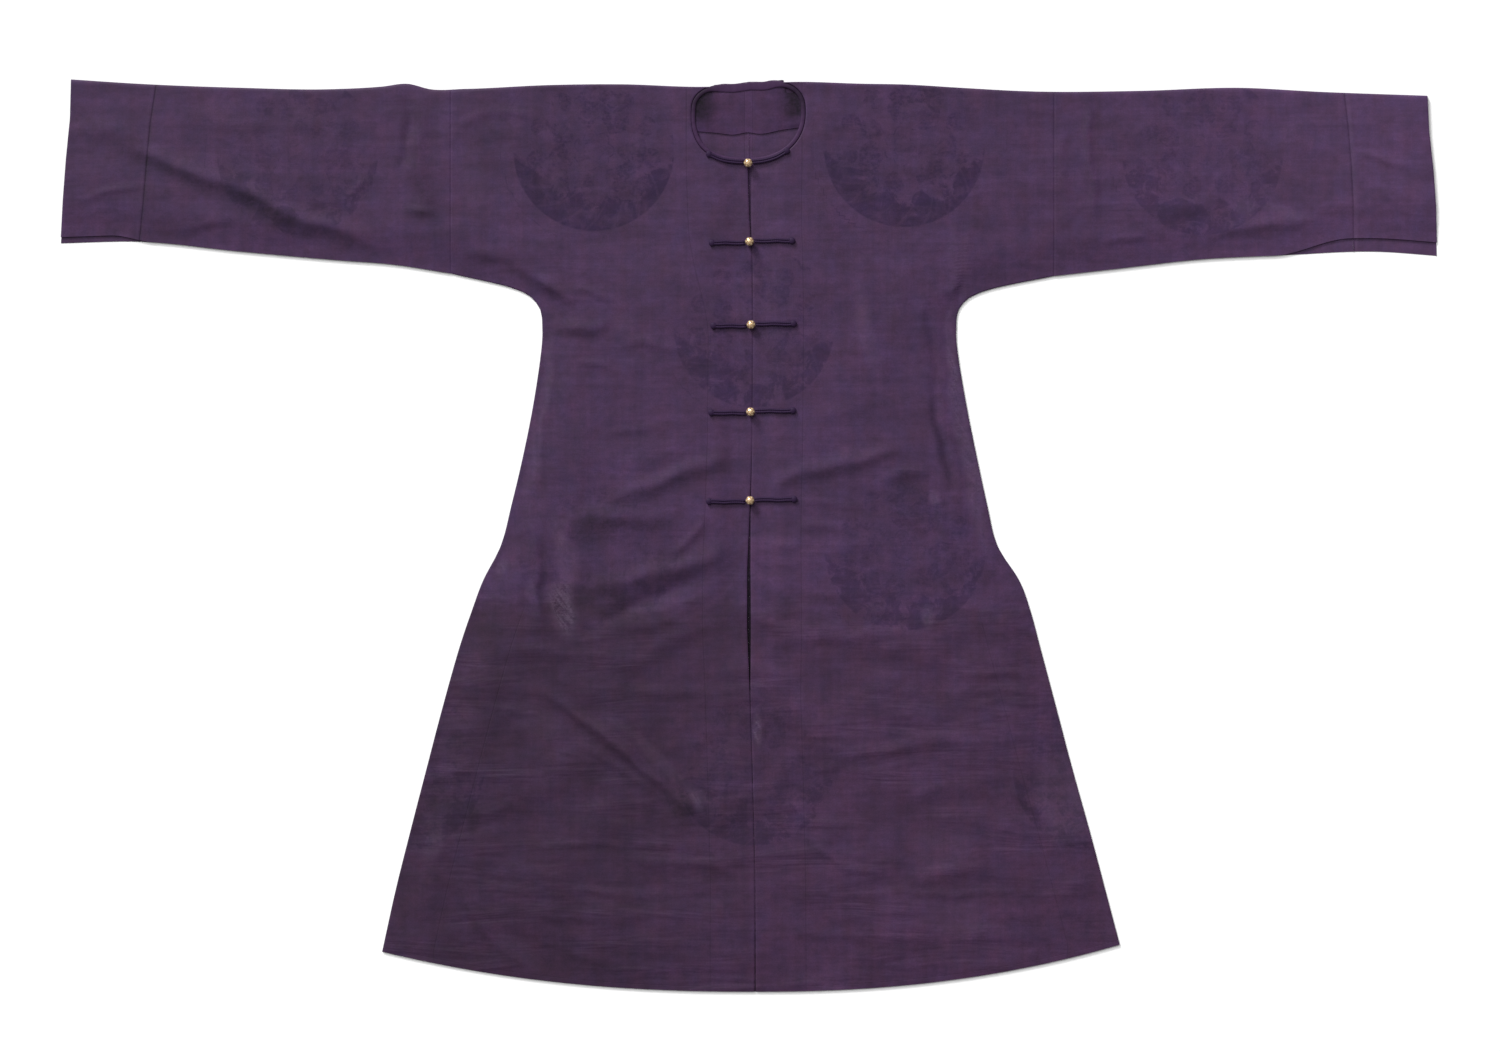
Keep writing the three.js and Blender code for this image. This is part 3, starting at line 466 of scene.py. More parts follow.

# Places painted brighter or darker: bright ones are wear with painted sheen, dark ones are
# painted shade of the folds. Middle, half sizes, turn and strength.
Patch = namedtuple("Patch", "x y half_width half_height turn strength")
patches = [Patch(*row) for row in [
    (-221, -87, 17, 37, 14, 0.44), (-219, -30, 15, 34, 6, 0.22), (-224, 14, 13, 34, -6, 0.20),
    (-248, -50, 5, 50, 0, -0.22), (-296, -37, 7, 11, 0, 0.3), (-258, -70, 8, 12, 0, 0.28),
    (-263, 83, 7, 46, -7, 0.18), (9, -233, 6, 22, 0, 0.45), (376, -315, 35, 62, 8, 0.24),
    (-378, -373, 12, 26, -12, 0.18), (-253, -225, 34, 24, -35, 0.13),
    (-105, -272, 92, 8, -41, 0.16), (-66, -318, 16, 6, -60, 0.30), (214, -98, 8, 17, 0, 0.3),
    (225, 46, 8, 11, 0, 0.3), (593, 391, 13, 12, 0, 0.26), (646, 388, 38, 7, -12, 0.22),
    (141, 247, 11, 62, 12, 0.20), (263, 96, 12, 120, 11, 0.31), (243, 222, 7, 64, 0, 0.24),
    (246, 322, 6, 56, -2, 0.16), (258, 316, 6, 50, -6, 0.18), (-247, 160, 8, 104, -8, 0.26),
    (-332, 431, 19, 41, 0, 0.1), (-150, 254, 18, 11, 20, 0.13), (235, -377, 41, 31, 0, 0.1),
    (247, -459, 43, 22, 4, 0.12), (-131, 328, 79, 41, 0, 0.05), (-143, -99, 62, 12, 22, 0.12),
    (-275, -497, 41, 12, -38, 0.1), (-386, 399, 26, 34, 0, -0.16), (-184, 6, 28, 26, -10, -0.24),
    (187, 50, 34, 18, 5, -0.18), (35, -86, 32, 20, 0, -0.14), (81, -101, 12, 11, 0, -0.16),
    (-83, -325, 17, 16, -40, -0.3), (-135, -183, 24, 24, 0, -0.1), (-332, -339, 10, 19, 0, -0.28),
    (431, 423, 22, 10, 0, -0.14), (667, 417, 36, 26, 0, -0.1), (-777, 532, 34, 10, 0, -0.12),
    (-763, 371, 14, 11, 0, -0.1), (283, -44, 13, 14, 0, -0.18), (241, -87, 22, 16, 0, -0.14),
    (183, -56, 20, 23, 0, -0.12), (-223, 33, 10, 13, 0, -0.16), (-174, -77, 42, 19, -14, -0.20),
    (-611, 403, 132, 14, -24, -0.08), (232, 100, 9, 52, 14, -0.18), (-377, 505, 13, 31, 0, -0.07),
    (328, -329, 12, 24, -40, -0.12),
]]

# Roundels of the figured weave: middle, radius and how strongly each one shows.
Roundel = namedtuple("Roundel", "x y radius strength")
roundels = [Roundel(*row) for row in [
    (-185.9, 461.3, 98, 1.0), (186.2, 466.1, 98, 1.0), (6.2, 250.1, 98, 0.62),
    (-181.0, -17.5, 98, 0.12), (187.4, -17.5, 98, 0.5), (6.2, -275.5, 98, 0.45),
    (-413.8, -281.5, 98, 0.4), (413.0, -281.5, 98, 0.4), (-541.0, 456.5, 98, 0.3),
    (543.8, 456.5, 98, 0.5), (-164.2, 517.7, 6, 0.9), (205.4, 524.9, 6, 0.9),
    (-523.5, 515.9, 6, 0.7), (566.6, 516.5, 6, 0.7), (-174.2, 53.5, 5, 0.6), (166.0, 57.0, 5, 0.5),
]]


def column(rows, name):
    return np.array([getattr(row, name) for row in rows], float)


def smooth(knots, values, at):
    """A smooth curve through the values, read at one or many places."""
    slopes = np.gradient(values, knots)
    k = np.clip(np.searchsorted(knots, at) - 1, 0, len(knots) - 2)
    span = knots[k + 1] - knots[k]
    t = np.clip((at - knots[k]) / span, 0, 1)
    rise = values[k + 1] - values[k]
    ease = t * t * (3 - 2 * t)
    start = t * (1 - t) ** 2 * span * slopes[k]
    end = t * t * (t - 1) * span * slopes[k + 1]
    return values[k] + rise * ease + start + end


def smoothstep(value, low, high):
    t = np.clip((value - low) / (high - low), 0, 1)
    return t * t * (3 - 2 * t)


def curve_y(rows, x):
    return smooth(column(rows, "x"), column(rows, "y"), x)


def top_y(x):
    return curve_y(top_fold, x)


def back_neck_y(x):
    return curve_y(back_neck, x)


def front_x(y):
    return np.interp(y, column(front_edges, "y"), column(front_edges, "x"))


def front_gap(y):
    return np.interp(y, column(front_edges, "y"), column(front_edges, "gap"))


def under_y(side, x):
    return curve_y(sleeve_under[side], x)


def step_at(side, x):
    step = wrist_step[side]
    return step.size * smoothstep(np.abs(x), step.start, step.end)


def side_edge(side, level):
    """The side edge from the hem, level 0, to the sleeve seam."""
    knots = np.arange(seam_row + 1.0)
    rows = sections[:seam_row + 1]
    x = smooth(knots, column(rows, side + "_x"), level)
    y = smooth(knots, column(rows, side + "_y"), level)
    return x, y


def hem_y(side, x):
    row = sections[0]
    edge_x, edge_y = getattr(row, side + "_x"), getattr(row, side + "_y")
    return row.mid + (edge_y - row.mid) * np.minimum(np.abs(x / edge_x), 1) ** hem_bow


def side_inset(side, x, y):
    """How far a point lies inside the side edge or the under edge of the sleeve."""
    far = 1e4
    edge_x, edge_y = side_edge(side, np.linspace(0, seam_row, 10 * seam_row + 1))
    out = np.abs(x)
    across = np.where(y < edge_y[-1], np.interp(y, edge_y, np.abs(edge_x)) - out, far)
    arm_x, arm_y = np.abs(edge_x[10 * arm_row:]), edge_y[10 * arm_row:]
    on_sleeve = out > abs(sleeve_seam[side])
    under = np.where(on_sleeve, under_y(side, x) + step_at(side, x), np.interp(out, arm_x, arm_y))
    down = np.where((y > arm_y[0]) & (out > arm_x[0]), y - under, far)
    reach = np.hypot(across, down)
    return np.where(reach > 0, across * down / np.maximum(reach, 1e-9), 0)


def crease_places(crease, x, y):
    """How far along a crease a point lies, as what is left of it there, and how far across."""
    length = math.hypot(crease.x2 - crease.x1, crease.y2 - crease.y1)
    way_x, way_y = (crease.x2 - crease.x1) / length, (crease.y2 - crease.y1) / length
    dx, dy = x - (crease.x1 + crease.x2) / 2, y - (crease.y1 + crease.y2) / 2
    along = (dx * way_x + dy * way_y) / (length / 2)
    fade = np.clip(1 - along * along, 0, None)
    return fade, (dy * way_x - dx * way_y - crease.bow * fade) / crease.width


def crease_rise(crease, x, y):
    fade, across = crease_places(crease, x, y)
    return crease.rise * fade * np.exp(-2 * across * across)


def wander(x, y):
    """Moves a point by a little, so that no crease runs quite straight or evenly."""
    move_x = 2.6 * np.sin(y / 17 + 1.3 * np.sin(x / 41)) + 1.2 * np.sin(y / 6.5 + x / 19)
    move_y = 2.2 * np.sin(x / 19 + 1.7 * np.sin(y / 37)) + 1.0 * np.sin(x / 7.5 - y / 23)
    return x + move_x, y + move_y


def above_nought(height):
    """Bends a height softly so that it stays above nought."""
    return 0.5 * (height + np.sqrt(height * height + 0.4))


def front_foot(side, x, y):
    """Underside of the front layer above the table. It lies quiet under the balls."""
    quiet = smoothstep(np.abs(x), *quiet_strip)
    low = smoothstep(-30 - y, 0, 50)
    free = np.maximum(quiet, low)
    moved_x, moved_y = wander(x, y)
    creased = sum(crease_rise(crease, moved_x, moved_y) for crease in creases)
    slack = rest_slack + free * (loose_slack + creased)
    slack = most_slack - above_nought(most_slack - above_nought(slack))
    eased = smoothstep(side_inset(side, x, y), 0, edge_ease)
    eased = eased * smoothstep(y - hem_y(side, x), 0, hem_ease)
    return wall + seam_gap + np.maximum(slack, 0) * eased


def silk_tone(x, y):
    """How far the silk is painted brighter or darker at a point: wear, painted sheen, painted
    shade.
    """
    moved_x, moved_y = wander(x, y)
    tone = np.zeros(len(x))
    # Painted shade along the right side of each crease, the side turned away from the lamps.
    for crease in creases:
        fade, across = crease_places(crease, moved_x, moved_y)
        lee = smoothstep(-across, -0.15, 0.35) * np.exp(-1.6 * np.clip(-across - 0.5, 0, None) ** 2)
        tone -= crease.shade * fade ** 0.6 * lee
    # Each patch adds wear and painted sheen where it is bright, and painted shade where it is dark.
    for patch in patches:
        turn = math.radians(patch.turn)
        dx, dy = moved_x - patch.x, moved_y - patch.y
        u = (dx * math.cos(turn) + dy * math.sin(turn)) / patch.half_width
        v = (dy * math.cos(turn) - dx * math.sin(turn)) / patch.half_height
        tone += patch.strength * (1 - smoothstep(np.hypot(u, v), 0.45, 1.25))
    tone = np.clip(tone, -0.45, 0.7)
    # The back layer seen through the front slit gets a painted shadow, deeper further down from its
    # top.
    in_slit = (np.abs(x - front_x(y)) < front_gap(y) / 2) & (y < slit_top)
    return np.where(in_slit, slit_shadow_tone * smoothstep(slit_top - y, 0, 60), tone)


def back_foot(x, y):
    rise = sum(crease_rise(crease, x, y) for crease in back_creases)
    return np.clip(rise, 0, back_slack)


def neck_point(side, turn, margin=0.0):
    """A place on the neck line, or outside it by a margin."""
    shape = neck[side]
    angle = math.radians(turn)
    if turn < 90:
        depth, power = shape.depth + margin, 2 / shape.fullness
    else:
        depth, power = -shape.top - margin, 2 / shape.top_fullness
    drop = depth * abs(math.cos(angle)) ** power
    x = shape.x + sign[side] * (shape.half + margin) * math.sin(angle) ** power
    return x, shape.y - drop


def body_section(side, level):
    """Inner and outer end of one section across the body."""
    below = min(int(level), len(sections) - 2)
    low, high = sections[below], sections[below + 1]
    share = level - below
    mid = low.mid + (high.mid - low.mid) * share
    turn = low.turn + (high.turn - low.turn) * share
    if level <= seam_row:
        outer = side_edge(side, level)
    else:
        low_y, high_y = getattr(low, side + "_y"), getattr(high, side + "_y")
        outer = (sleeve_seam[side] - sign[side] * sewn_gap, low_y + (high_y - low_y) * share)
    if turn > 0:
        inner = neck_point(side, turn, neck_margin)
    else:
        inner = (float(front_x(mid)) + sign[side] * float(front_gap(mid)) / 2, mid)
    return np.array(inner, float), np.array(outer, float)


def across(inner, outer, share):
    x = inner[0] + (outer[0] - inner[0]) * share
    y = inner[1] + (outer[1] - inner[1]) * share ** hem_bow
    return np.stack([x, y], axis=-1)


def rolled_ends(xy):
    """How far the cloth turns in at the two ends of a line, where it is folded or sewn."""
    first = np.hypot(*(xy - xy[0]).T) / seam_roll_width
    last = np.hypot(*(xy - xy[-1]).T) / seam_roll_width
    return seam_roll * (np.exp(-first ** 2) + np.exp(-last ** 2))


def even_shares(count, width):
    """Shares from 0 to 1, closer at both ends, where the cloth rolls in."""
    near = np.array([0.0, 0.35, 0.8, 1.4, 2.2]) / width
    middle = np.linspace(near[-1] * 1.6, 1 - near[-1] * 1.6, count)
    return np.concatenate([near, middle, 1 - near[::-1]])


def layer_lines(side, front, fold, back):
    """Outer places of the cloth, line by line: up the front, over the fold, down the back."""
    lines = []
    for xy in front:
        z = front_foot(side, xy[:, 0], xy[:, 1]) + wall - rolled_ends(xy)
        lines.append(np.column_stack([xy, z]))
    top = front_foot(side, fold[:, 0], fold[:, 1]) + wall
    for turn in (60, 30, 0, -30, -60):
        y = fold[:, 1] - top / 2 + top / 2 * math.cos(math.radians(turn))
        z = top / 2 + top / 2 * math.sin(math.radians(turn))
        lines.append(np.column_stack([fold[:, 0], y, z]))
    for xy in back:
        lines.append(np.column_stack([xy, back_foot(xy[:, 0], xy[:, 1]) + rolled_ends(xy)]))
    return np.array(lines)


def woven_figure(x, y):
    """Place inside the roundel that a point lies in, as shares of its radius, and its strength."""
    found = np.zeros((len(x), 3))
    found[:, 0] = 5
    for row in roundels:
        u, v = (x - row.x) / row.radius, (y - row.y) / row.radius
        inside = np.hypot(u, v) < 1.15
        found[inside] = np.column_stack([u, v, np.full(len(x), row.strength)])[inside]
    return found


def vertex_places(mesh):
    flat = np.empty(3 * len(mesh.vertices))
    mesh.vertices.foreach_get("co", flat)
    return flat.reshape(-1, 3)


def set_values(mesh, name, values):
    """Gives every vertex a number or a vector, which the material reads."""
    kind, key = ("FLOAT_VECTOR", "vector") if values.ndim == 2 else ("FLOAT", "value")
    mesh.attributes.new(name, kind, "POINT").data.foreach_set(key, values.ravel())


def shaped_grid(name, places):
    """A plain grid whose points move to the given places, and those places in its own order."""
    rows, columns = places.shape[:2]
    bpy.ops.object.select_all(action="DESELECT")
    bpy.ops.mesh.primitive_grid_add(x_subdivisions=columns - 1, y_subdivisions=rows - 1, size=2)
    piece = bpy.context.object
    piece.name = name
    start = vertex_places(piece.data)
    i = np.rint((start[:, 0] + 1) / 2 * (columns - 1)).astype(int)
    j = np.rint((start[:, 1] + 1) / 2 * (rows - 1)).astype(int)
    moved = places[j, i]
    piece.data.vertices.foreach_set("co", (moved * mm).ravel())
    piece.data.update()
    return piece, moved


def cloth_piece(name, side, lines, thickness=silk_thickness):
    """A sheet of silk whose outside follows the given lines, then a thin wall."""
    piece, places = shaped_grid(name, lines)
    mesh = piece.data
    x, y = places[:, 0], places[:, 1]
    from_front = np.abs(x - front_x(y)) - front_gap(y) / 2
    from_edge = np.column_stack([from_front, side_inset(side, x, y), y - hem_y(side, x)])
    set_values(mesh, "edges", from_edge * mm)
    set_values(mesh, "figure", woven_figure(x, y))
    set_values(mesh, "tone", silk_tone(x, y))
    if mesh.polygons[0].normal.z < 0:
        bpy.ops.object.mode_set(mode="EDIT")
        bpy.ops.mesh.select_all(action="SELECT")
        bpy.ops.mesh.flip_normals()
        bpy.ops.object.mode_set(mode="OBJECT")
    bpy.ops.object.modifier_add(type="SOLIDIFY")
    piece.modifiers[-1].thickness = thickness * mm
    piece.modifiers[-1].offset = -1
    bpy.ops.object.modifier_apply(modifier=piece.modifiers[-1].name)
    bpy.ops.object.shade_smooth_by_angle(angle=math.radians(50))
    mesh.materials.clear()
    mesh.materials.append(silk)
    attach(piece, "root")
    return piece


body_columns = 112
body_width = 330
row_height = 3.9
fold_rows = 8
back_rows = 56
under_facing = 533


def body_lines(side):
    """The whole outside of one body half, from the front hem over the fold to the back hem."""
    shares = even_shares(body_columns, body_width)
    levels = [0.0]
    for k in range(len(sections) - 1):
        low, high = sections[k], sections[k + 1]
        span = max(high.mid - low.mid, getattr(high, side + "_y") - getattr(low, side + "_y"))
        count = max(1, round(span / row_height))
        levels += [k + (i + 1) / count for i in range(count)]
    front = [across(*body_section(side, level), shares) for level in levels]
    fold_end = neck_point(side, neck[side].end, neck_margin)[0]
    seam_end = sleeve_seam[side] - sign[side] * sewn_gap
    fold_x = fold_end + (seam_end - fold_end) * shares
    fold = np.column_stack([fold_x, top_y(fold_x)])
    last = front[-1]
    turn = sections[-1].turn
    for share in np.linspace(0, 1, fold_rows + 2)[1:-1]:
        line = last + (fold - last) * share
        on_neck = neck_point(side, turn + (neck[side].end - turn) * share, neck_margin)
        line += np.outer((1 - shares) ** 6, np.array(on_neck) - line[0])
        front.append(line)
    half_neck = (fold_end / 2, float(top_y(fold_end)) - 3)
    below_fold = (seam_end, float(top_y(seam_end)) - 20)
    back = [across(half_neck, below_fold, shares)]
    top_level = len(sections) - 2
    for level in np.linspace(top_level, 0, back_rows):
        inner, outer = body_section(side, level)
        rise = np.clip((level - seam_row) / (top_level - seam_row), 0, 1)
        height = min(inner[1], sections[seam_row].mid)
        height += (under_facing - height) * rise
        back.append(across((sign[side] * sewn_gap, height), outer, shares))
    return layer_lines(side, front, fold, back)


def lay_down(piece, node, width, length, area):
    """Hides the solid that a sheet replaces. The sheet and how large it was cut, in metres, are not
    used.
    """
    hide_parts(node)


body_cut = {"right": (0.441, 2.16, 0.731), "left": (0.446, 2.16, 0.731)}
for side in ("right", "left"):
    body = cloth_piece("body_" + side + "_silk", side, body_lines(side))
    lay_down(body, "body_" + side, *body_cut[side])

# Sleeves. Each is one length of the silk folded along the top, with its under seam closed and
# its end sewn to the body. At the wrist the front layer has crept back from the back one.
CuffLine = namedtuple("CuffLine", "across right left")
cuff_seam = [CuffLine(*row) for row in [
    (0, -730.6, 725.7), (0.25, -725.5, 725.0), (0.5, -721.6, 722.8), (0.75, -717.3, 719.3),
    (1, -710.2, 714.2),
]]
sleeve_mouth = [CuffLine(*row) for row in [
    (0, -825.4, 825.4), (0.25, -822.4, 824.0), (0.5, -818.8, 820.8), (0.75, -814.0, 815.9),
    (1, -812.8, 813.8),
]]
sleeve_rows = 62
sleeve_back_rows = 20


def sleeve_lines(side, inner_edge, outer_edge, columns):
    """The whole outside of a sleeve or a cuff, between two edges that run across it."""
    shares = even_shares(columns, abs(outer_edge(0.5) - inner_edge(0.5)))

    def line(across_share, stepped):
        inner, outer = inner_edge(across_share), outer_edge(across_share)
        x = inner + (outer - inner) * shares
        low = under_y(side, x) + (step_at(side, x) if stepped else 0)
        return np.column_stack([x, low + (top_y(x) - low) * across_share])

    front = [line(j / sleeve_rows, True) for j in range(sleeve_rows)]
    back = [line(1 - j / sleeve_back_rows, False) for j in range(1, sleeve_back_rows + 1)]
    return layer_lines(side, front, line(1.0, False), back)


def line_at(rows, side, across_share):
    return float(np.interp(across_share, column(rows, "across"), column(rows, side)))


sleeve_cut = {"right": (0.373, 0.427, 0.147), "left": (0.363, 0.434, 0.145)}
sleeves = {}
for side in ("right", "left"):
    half = sign[side] * sewn_gap
    lines = sleeve_lines(
        side,
        lambda share: sleeve_seam[side] + half,
        lambda share: line_at(cuff_seam, side, share) - half,
        columns=104)
    sleeves[side] = cloth_piece("sleeve_" + side + "_silk", side, lines)
    lay_down(sleeves[side], "sleeve_" + side, *sleeve_cut[side])

# Cuffs. The end piece of each sleeve, cut from the same silk, folded along the top, faced
# inside and sewn to the sleeve.
def paint_seam_shade_and_highlight(piece, side, dark, bright):
    """Paints shade into the groove of the cuff seam and a highlight along its pressed edge."""
    places = vertex_places(piece.data) / mm
    x, y = places[:, 0], places[:, 1]
    low = under_y(side, x)
    share = (y - low) / (top_y(x) - low)
    seam_x = np.interp(share, column(cuff_seam, "across"), column(cuff_seam, side))
    beyond = sign[side] * (x - seam_x)
    tone = np.empty(len(x))
    values = piece.data.attributes["tone"].data
    values.foreach_get("value", tone)
    tone -= dark * np.exp(-(beyond / 1.8) ** 2)
    tone += bright * np.exp(-((beyond - 3.4) / 1.8) ** 2)
    values.foreach_set("value", tone)


# How much painted shade goes in each cuff seam's groove and how much painted highlight on its edge.
SeamShadeAndHighlight = namedtuple("SeamShadeAndHighlight", "dark bright")
seam_shade_and_highlight = {"right": SeamShadeAndHighlight(0.36, 0.08), "left": SeamShadeAndHighlight(0.16, 0.20)}
cuff_cut = {"right": (0.115, 0.394, 0.0369), "left": (0.105, 0.394, 0.0358)}
for side in ("right", "left"):
    half = sign[side] * sewn_gap
    lines = sleeve_lines(
        side,
        lambda share: line_at(cuff_seam, side, share) + half,
        lambda share: line_at(sleeve_mouth, side, share),
        columns=28)
    cuff = cloth_piece("cuff_" + side + "_silk", side, lines)
    for piece in (sleeves[side], cuff):
        paint_seam_shade_and_highlight(piece, side, *seam_shade_and_highlight[side])
    lay_down(cuff, "cuff_" + side, *cuff_cut[side])

# Neck facing. A shaped piece of the silk inside the back, seen through the neck, stitched down
# along its lower edge.
facing_edge = [Point(*row) for row in [
    (-80, 486), (-40, 483), (-18, 480.8), (-1, 483.5), (12, 481.8), (40, 486.5), (80, 492),
]]
facing_half = 78
facing_top = 531
facing_z = 2.25
facing_dip = 0.45
facing_columns = 61
facing_steps = 24
facing_thickness = 0.4
behind_binding = 42
facing_x = np.linspace(-facing_half, facing_half, facing_columns)
facing_low = curve_y(facing_edge, facing_x)
facing_high = np.where(np.abs(facing_x) < behind_binding, back_neck_y(facing_x) - 1, facing_top)
facing_rows = []
for share in np.linspace(0, 1, facing_steps):
    z = facing_z - facing_dip + facing_dip * smoothstep(share, 0, 0.12)
    y = facing_low + (facing_high - facing_low) * share
    facing_rows.append(np.column_stack([facing_x, y, np.full(facing_columns, z)]))
facing = cloth_piece("neck_facing_silk", "left", np.array(facing_rows), facing_thickness)

# It lies in the shadow of the neck edge, deepest in its two corners.
deepest = 0.78
places = vertex_places(facing.data) / mm
x, y = places[:, 0], places[:, 1]
share = (y - np.interp(x, facing_x, facing_low)) / np.interp(x, facing_x, facing_high - facing_low)
corner = smoothstep(x, 27, 54) + smoothstep(-x, 31, 58)
shadow = deepest * corner * (0.2 + 0.8 * smoothstep(share, 0.12, 0.5))
shadow += 0.15 * smoothstep(share, 0.75, 1)
tones = 0.06 - np.minimum(shadow, deepest)
facing.data.attributes["tone"].data.foreach_set("value", tones)
# A shaded copy of the silk with less specular reflection, so that the painted shadow of the neck
# stays dark purple.
shaded_facing_silk = silk.copy()
shaded_facing_silk.name = "shaded_copy_of_silk_for_facing"
shaded_facing_silk.node_tree.nodes["Principled BSDF"].inputs["Specular IOR Level"].default_value = 0.14
facing.data.materials[0] = shaded_facing_silk
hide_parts("neck_facing")

# Neck binding. A narrow strip of the same silk rolled over the raw neck edge and felled down,
# a shade darker, its two ends meeting under the top ball.
trim, tree, shader = new_finish("folded_silk_strip")
place = add_node(tree, "ShaderNodeTexCoord").outputs["Object"]
fibres = noise(place, (1, 1, 1), 700.0, 3.0, 0.7)
mottle = noise(place, (1, 1, 1), 40.0, 3.0, 0.6)
trim_colour = blend(mottle, (0.030, 0.012, 0.040, 1), (0.054, 0.023, 0.068, 1))
fibre_and_corner_shade = scaled(fibres, 0.5, 0.75)
axes = add_node(tree, "ShaderNodeSeparateXYZ", {0: place}).outputs
# Painted shade in the two back corners of the binding, on top of its fibres.
corner = ramp(size_of(axes[0]), 0.030, 0.056)
corner = times(corner, ramp(axes[1], 0.492, 0.524))
fibre_and_corner_shade = times(fibre_and_corner_shade, scaled(corner, -0.55, 1.0))
trim_colour = blend(1.0, trim_colour, fibre_and_corner_shade, "MULTIPLY")
from_edge = scaled(axes[0], -0.068, axes[1])
frayed = near_line(from_edge, 0.5440, 0.0024)
frays = ramp(noise(place, (1, 0.7, 1), 420.0, 3.0, 0.7), 0.45, 0.62)
frayed = times(frayed, times(frays, 0.7))
trim_colour = blend(frayed, trim_colour, (0.19, 0.15, 0.20, 1))
tree.links.new(trim_colour, shader.inputs["Base Color"])


def dull_finish(fibres, specular, strength):
    """The dull finish of folded or rolled silk, with its fibres in relief."""
    tree = tree_of(fibres)
    shader = tree.nodes["Principled BSDF"]
    shader.inputs["Roughness"].default_value = 0.6
    shader.inputs["Specular IOR Level"].default_value = specular
    shader.inputs["Sheen Weight"].default_value = 0.03
    shader.inputs["Sheen Tint"].default_value = (0.72, 0.66, 0.85, 1)
    inputs = {"Height": fibres, "Distance": 0.0001, "Strength": strength}
    bump = add_node(tree, "ShaderNodeBump", inputs)
    tree.links.new(bump.outputs[0], shader.inputs["Normal"])


def ring_angles(count):
    return [2 * math.pi * k / count for k in range(count)]


def beside(route, way, k, out):
    """The place beside step k of a route, at a distance out from it."""
    return route[k, 0] + way[k, 1] * out, route[k, 1] - way[k, 0] * out


def route_points(points, count):
    """Evenly spaced places on a smooth route through the points, and its direction at each."""
    points = np.array(points, float)
    walked = np.concatenate([[0], np.cumsum(np.hypot(*np.diff(points, axis=0).T))])
    fine = np.linspace(0, walked[-1], 600)
    curve = np.column_stack([smooth(walked, points[:, k], fine) for k in (0, 1)])
    length = np.concatenate([[0], np.cumsum(np.hypot(*np.diff(curve, axis=0).T))])
    even = np.linspace(0, length[-1], count)
    xy = np.column_stack([np.interp(even, length, curve[:, k]) for k in (0, 1)])
    way = np.gradient(xy, axis=0)
    return xy, way / np.hypot(way[:, 0], way[:, 1])[:, None]


def closed_strip(name, rings, material):
    """A strip from a plain grid rolled up into rings, one for each step along its route."""
    rings = np.array(rings)
    strip = shaped_grid(name, np.concatenate([rings, rings[:, :1]], axis=1))[0]
    bpy.ops.object.mode_set(mode="EDIT")
    bpy.ops.mesh.select_all(action="SELECT")
    bpy.ops.mesh.remove_doubles(threshold=0.000001)
    bpy.ops.mesh.select_non_manifold()
    bpy.ops.mesh.edge_face_add()
    bpy.ops.mesh.select_all(action="SELECT")
    bpy.ops.mesh.normals_make_consistent(inside=False)
    bpy.ops.object.mode_set(mode="OBJECT")
    bpy.ops.object.shade_smooth_by_angle(angle=math.radians(50))
    strip.data.materials.clear()
    strip.data.materials.append(material)
    return strip


dull_finish(fibres, specular=0.14, strength=0.5)
binding_width = 5.4
binding_back_width = 10
binding_height = 1.7
binding_foot = 2 * (wall + seam_gap)
binding_middle = binding_width / 2
binding_steps = 260
ring_points = 16
flat_foot = 0.35
binding_turns = [12, 26, 40, 55, 72, 90, 106, 121, 135]
binding_behind = [-33, -18, 2, 18, 33]
binding_ends = {"right": -1.0, "left": 2.6}
stretches = {}
for side in ("right", "left"):
    shape = neck[side]
    end = (binding_ends[side], shape.y - shape.depth + binding_middle)
    stretches[side] = [end] + [neck_point(side, turn, -binding_middle) for turn in binding_turns]
behind = [(x, float(back_neck_y(x)) - binding_back_width / 2) for x in binding_behind]
binding_route, binding_way = route_points(
    stretches["right"] + behind + stretches["left"][::-1], binding_steps)
rings = []
for k in range(binding_steps):
    back = 1 - smoothstep(abs(k / (binding_steps - 1) - 0.5), 0.07, 0.14)
    width = binding_width + (binding_back_width - binding_width) * back
    ripple = 0.12 * math.sin(0.9 * k) * math.sin(0.23 * k)
    height = binding_height - 1.0 * back + ripple
    ring = []
    for angle in ring_angles(ring_points):
        out = math.copysign(abs(math.cos(angle)) ** 0.7, math.cos(angle)) * width / 2
        up = max(math.sin(angle), -flat_foot)
        z = binding_foot + (up + flat_foot) / (1 + flat_foot) * height
        ring.append((*beside(binding_route, binding_way, k, out), z))
    rings.append(ring)
binding = closed_strip("neck_binding_strip", rings, trim)
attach(binding, "root")
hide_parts("neck_binding")

# Tabs and loops. Each is a cord of rolled silk laid double, couched side by side on one front
# and ending in a small knot. The tab on the right front carries the ball, and the loop on the
# left front goes round it.
cord_silk, tree, shader = new_finish("rolled_silk_cord")
place = add_node(tree, "ShaderNodeTexCoord").outputs["Object"]
cord_fibres = noise(place, (1, 1, 1), 800.0, 3.0, 0.7)
cord_colour = blend(cord_fibres, (0.010, 0.004, 0.018, 1), (0.032, 0.013, 0.048, 1))
tree.links.new(cord_colour, shader.inputs["Base Color"])
dull_finish(cord_fibres, specular=0.12, strength=0.6)

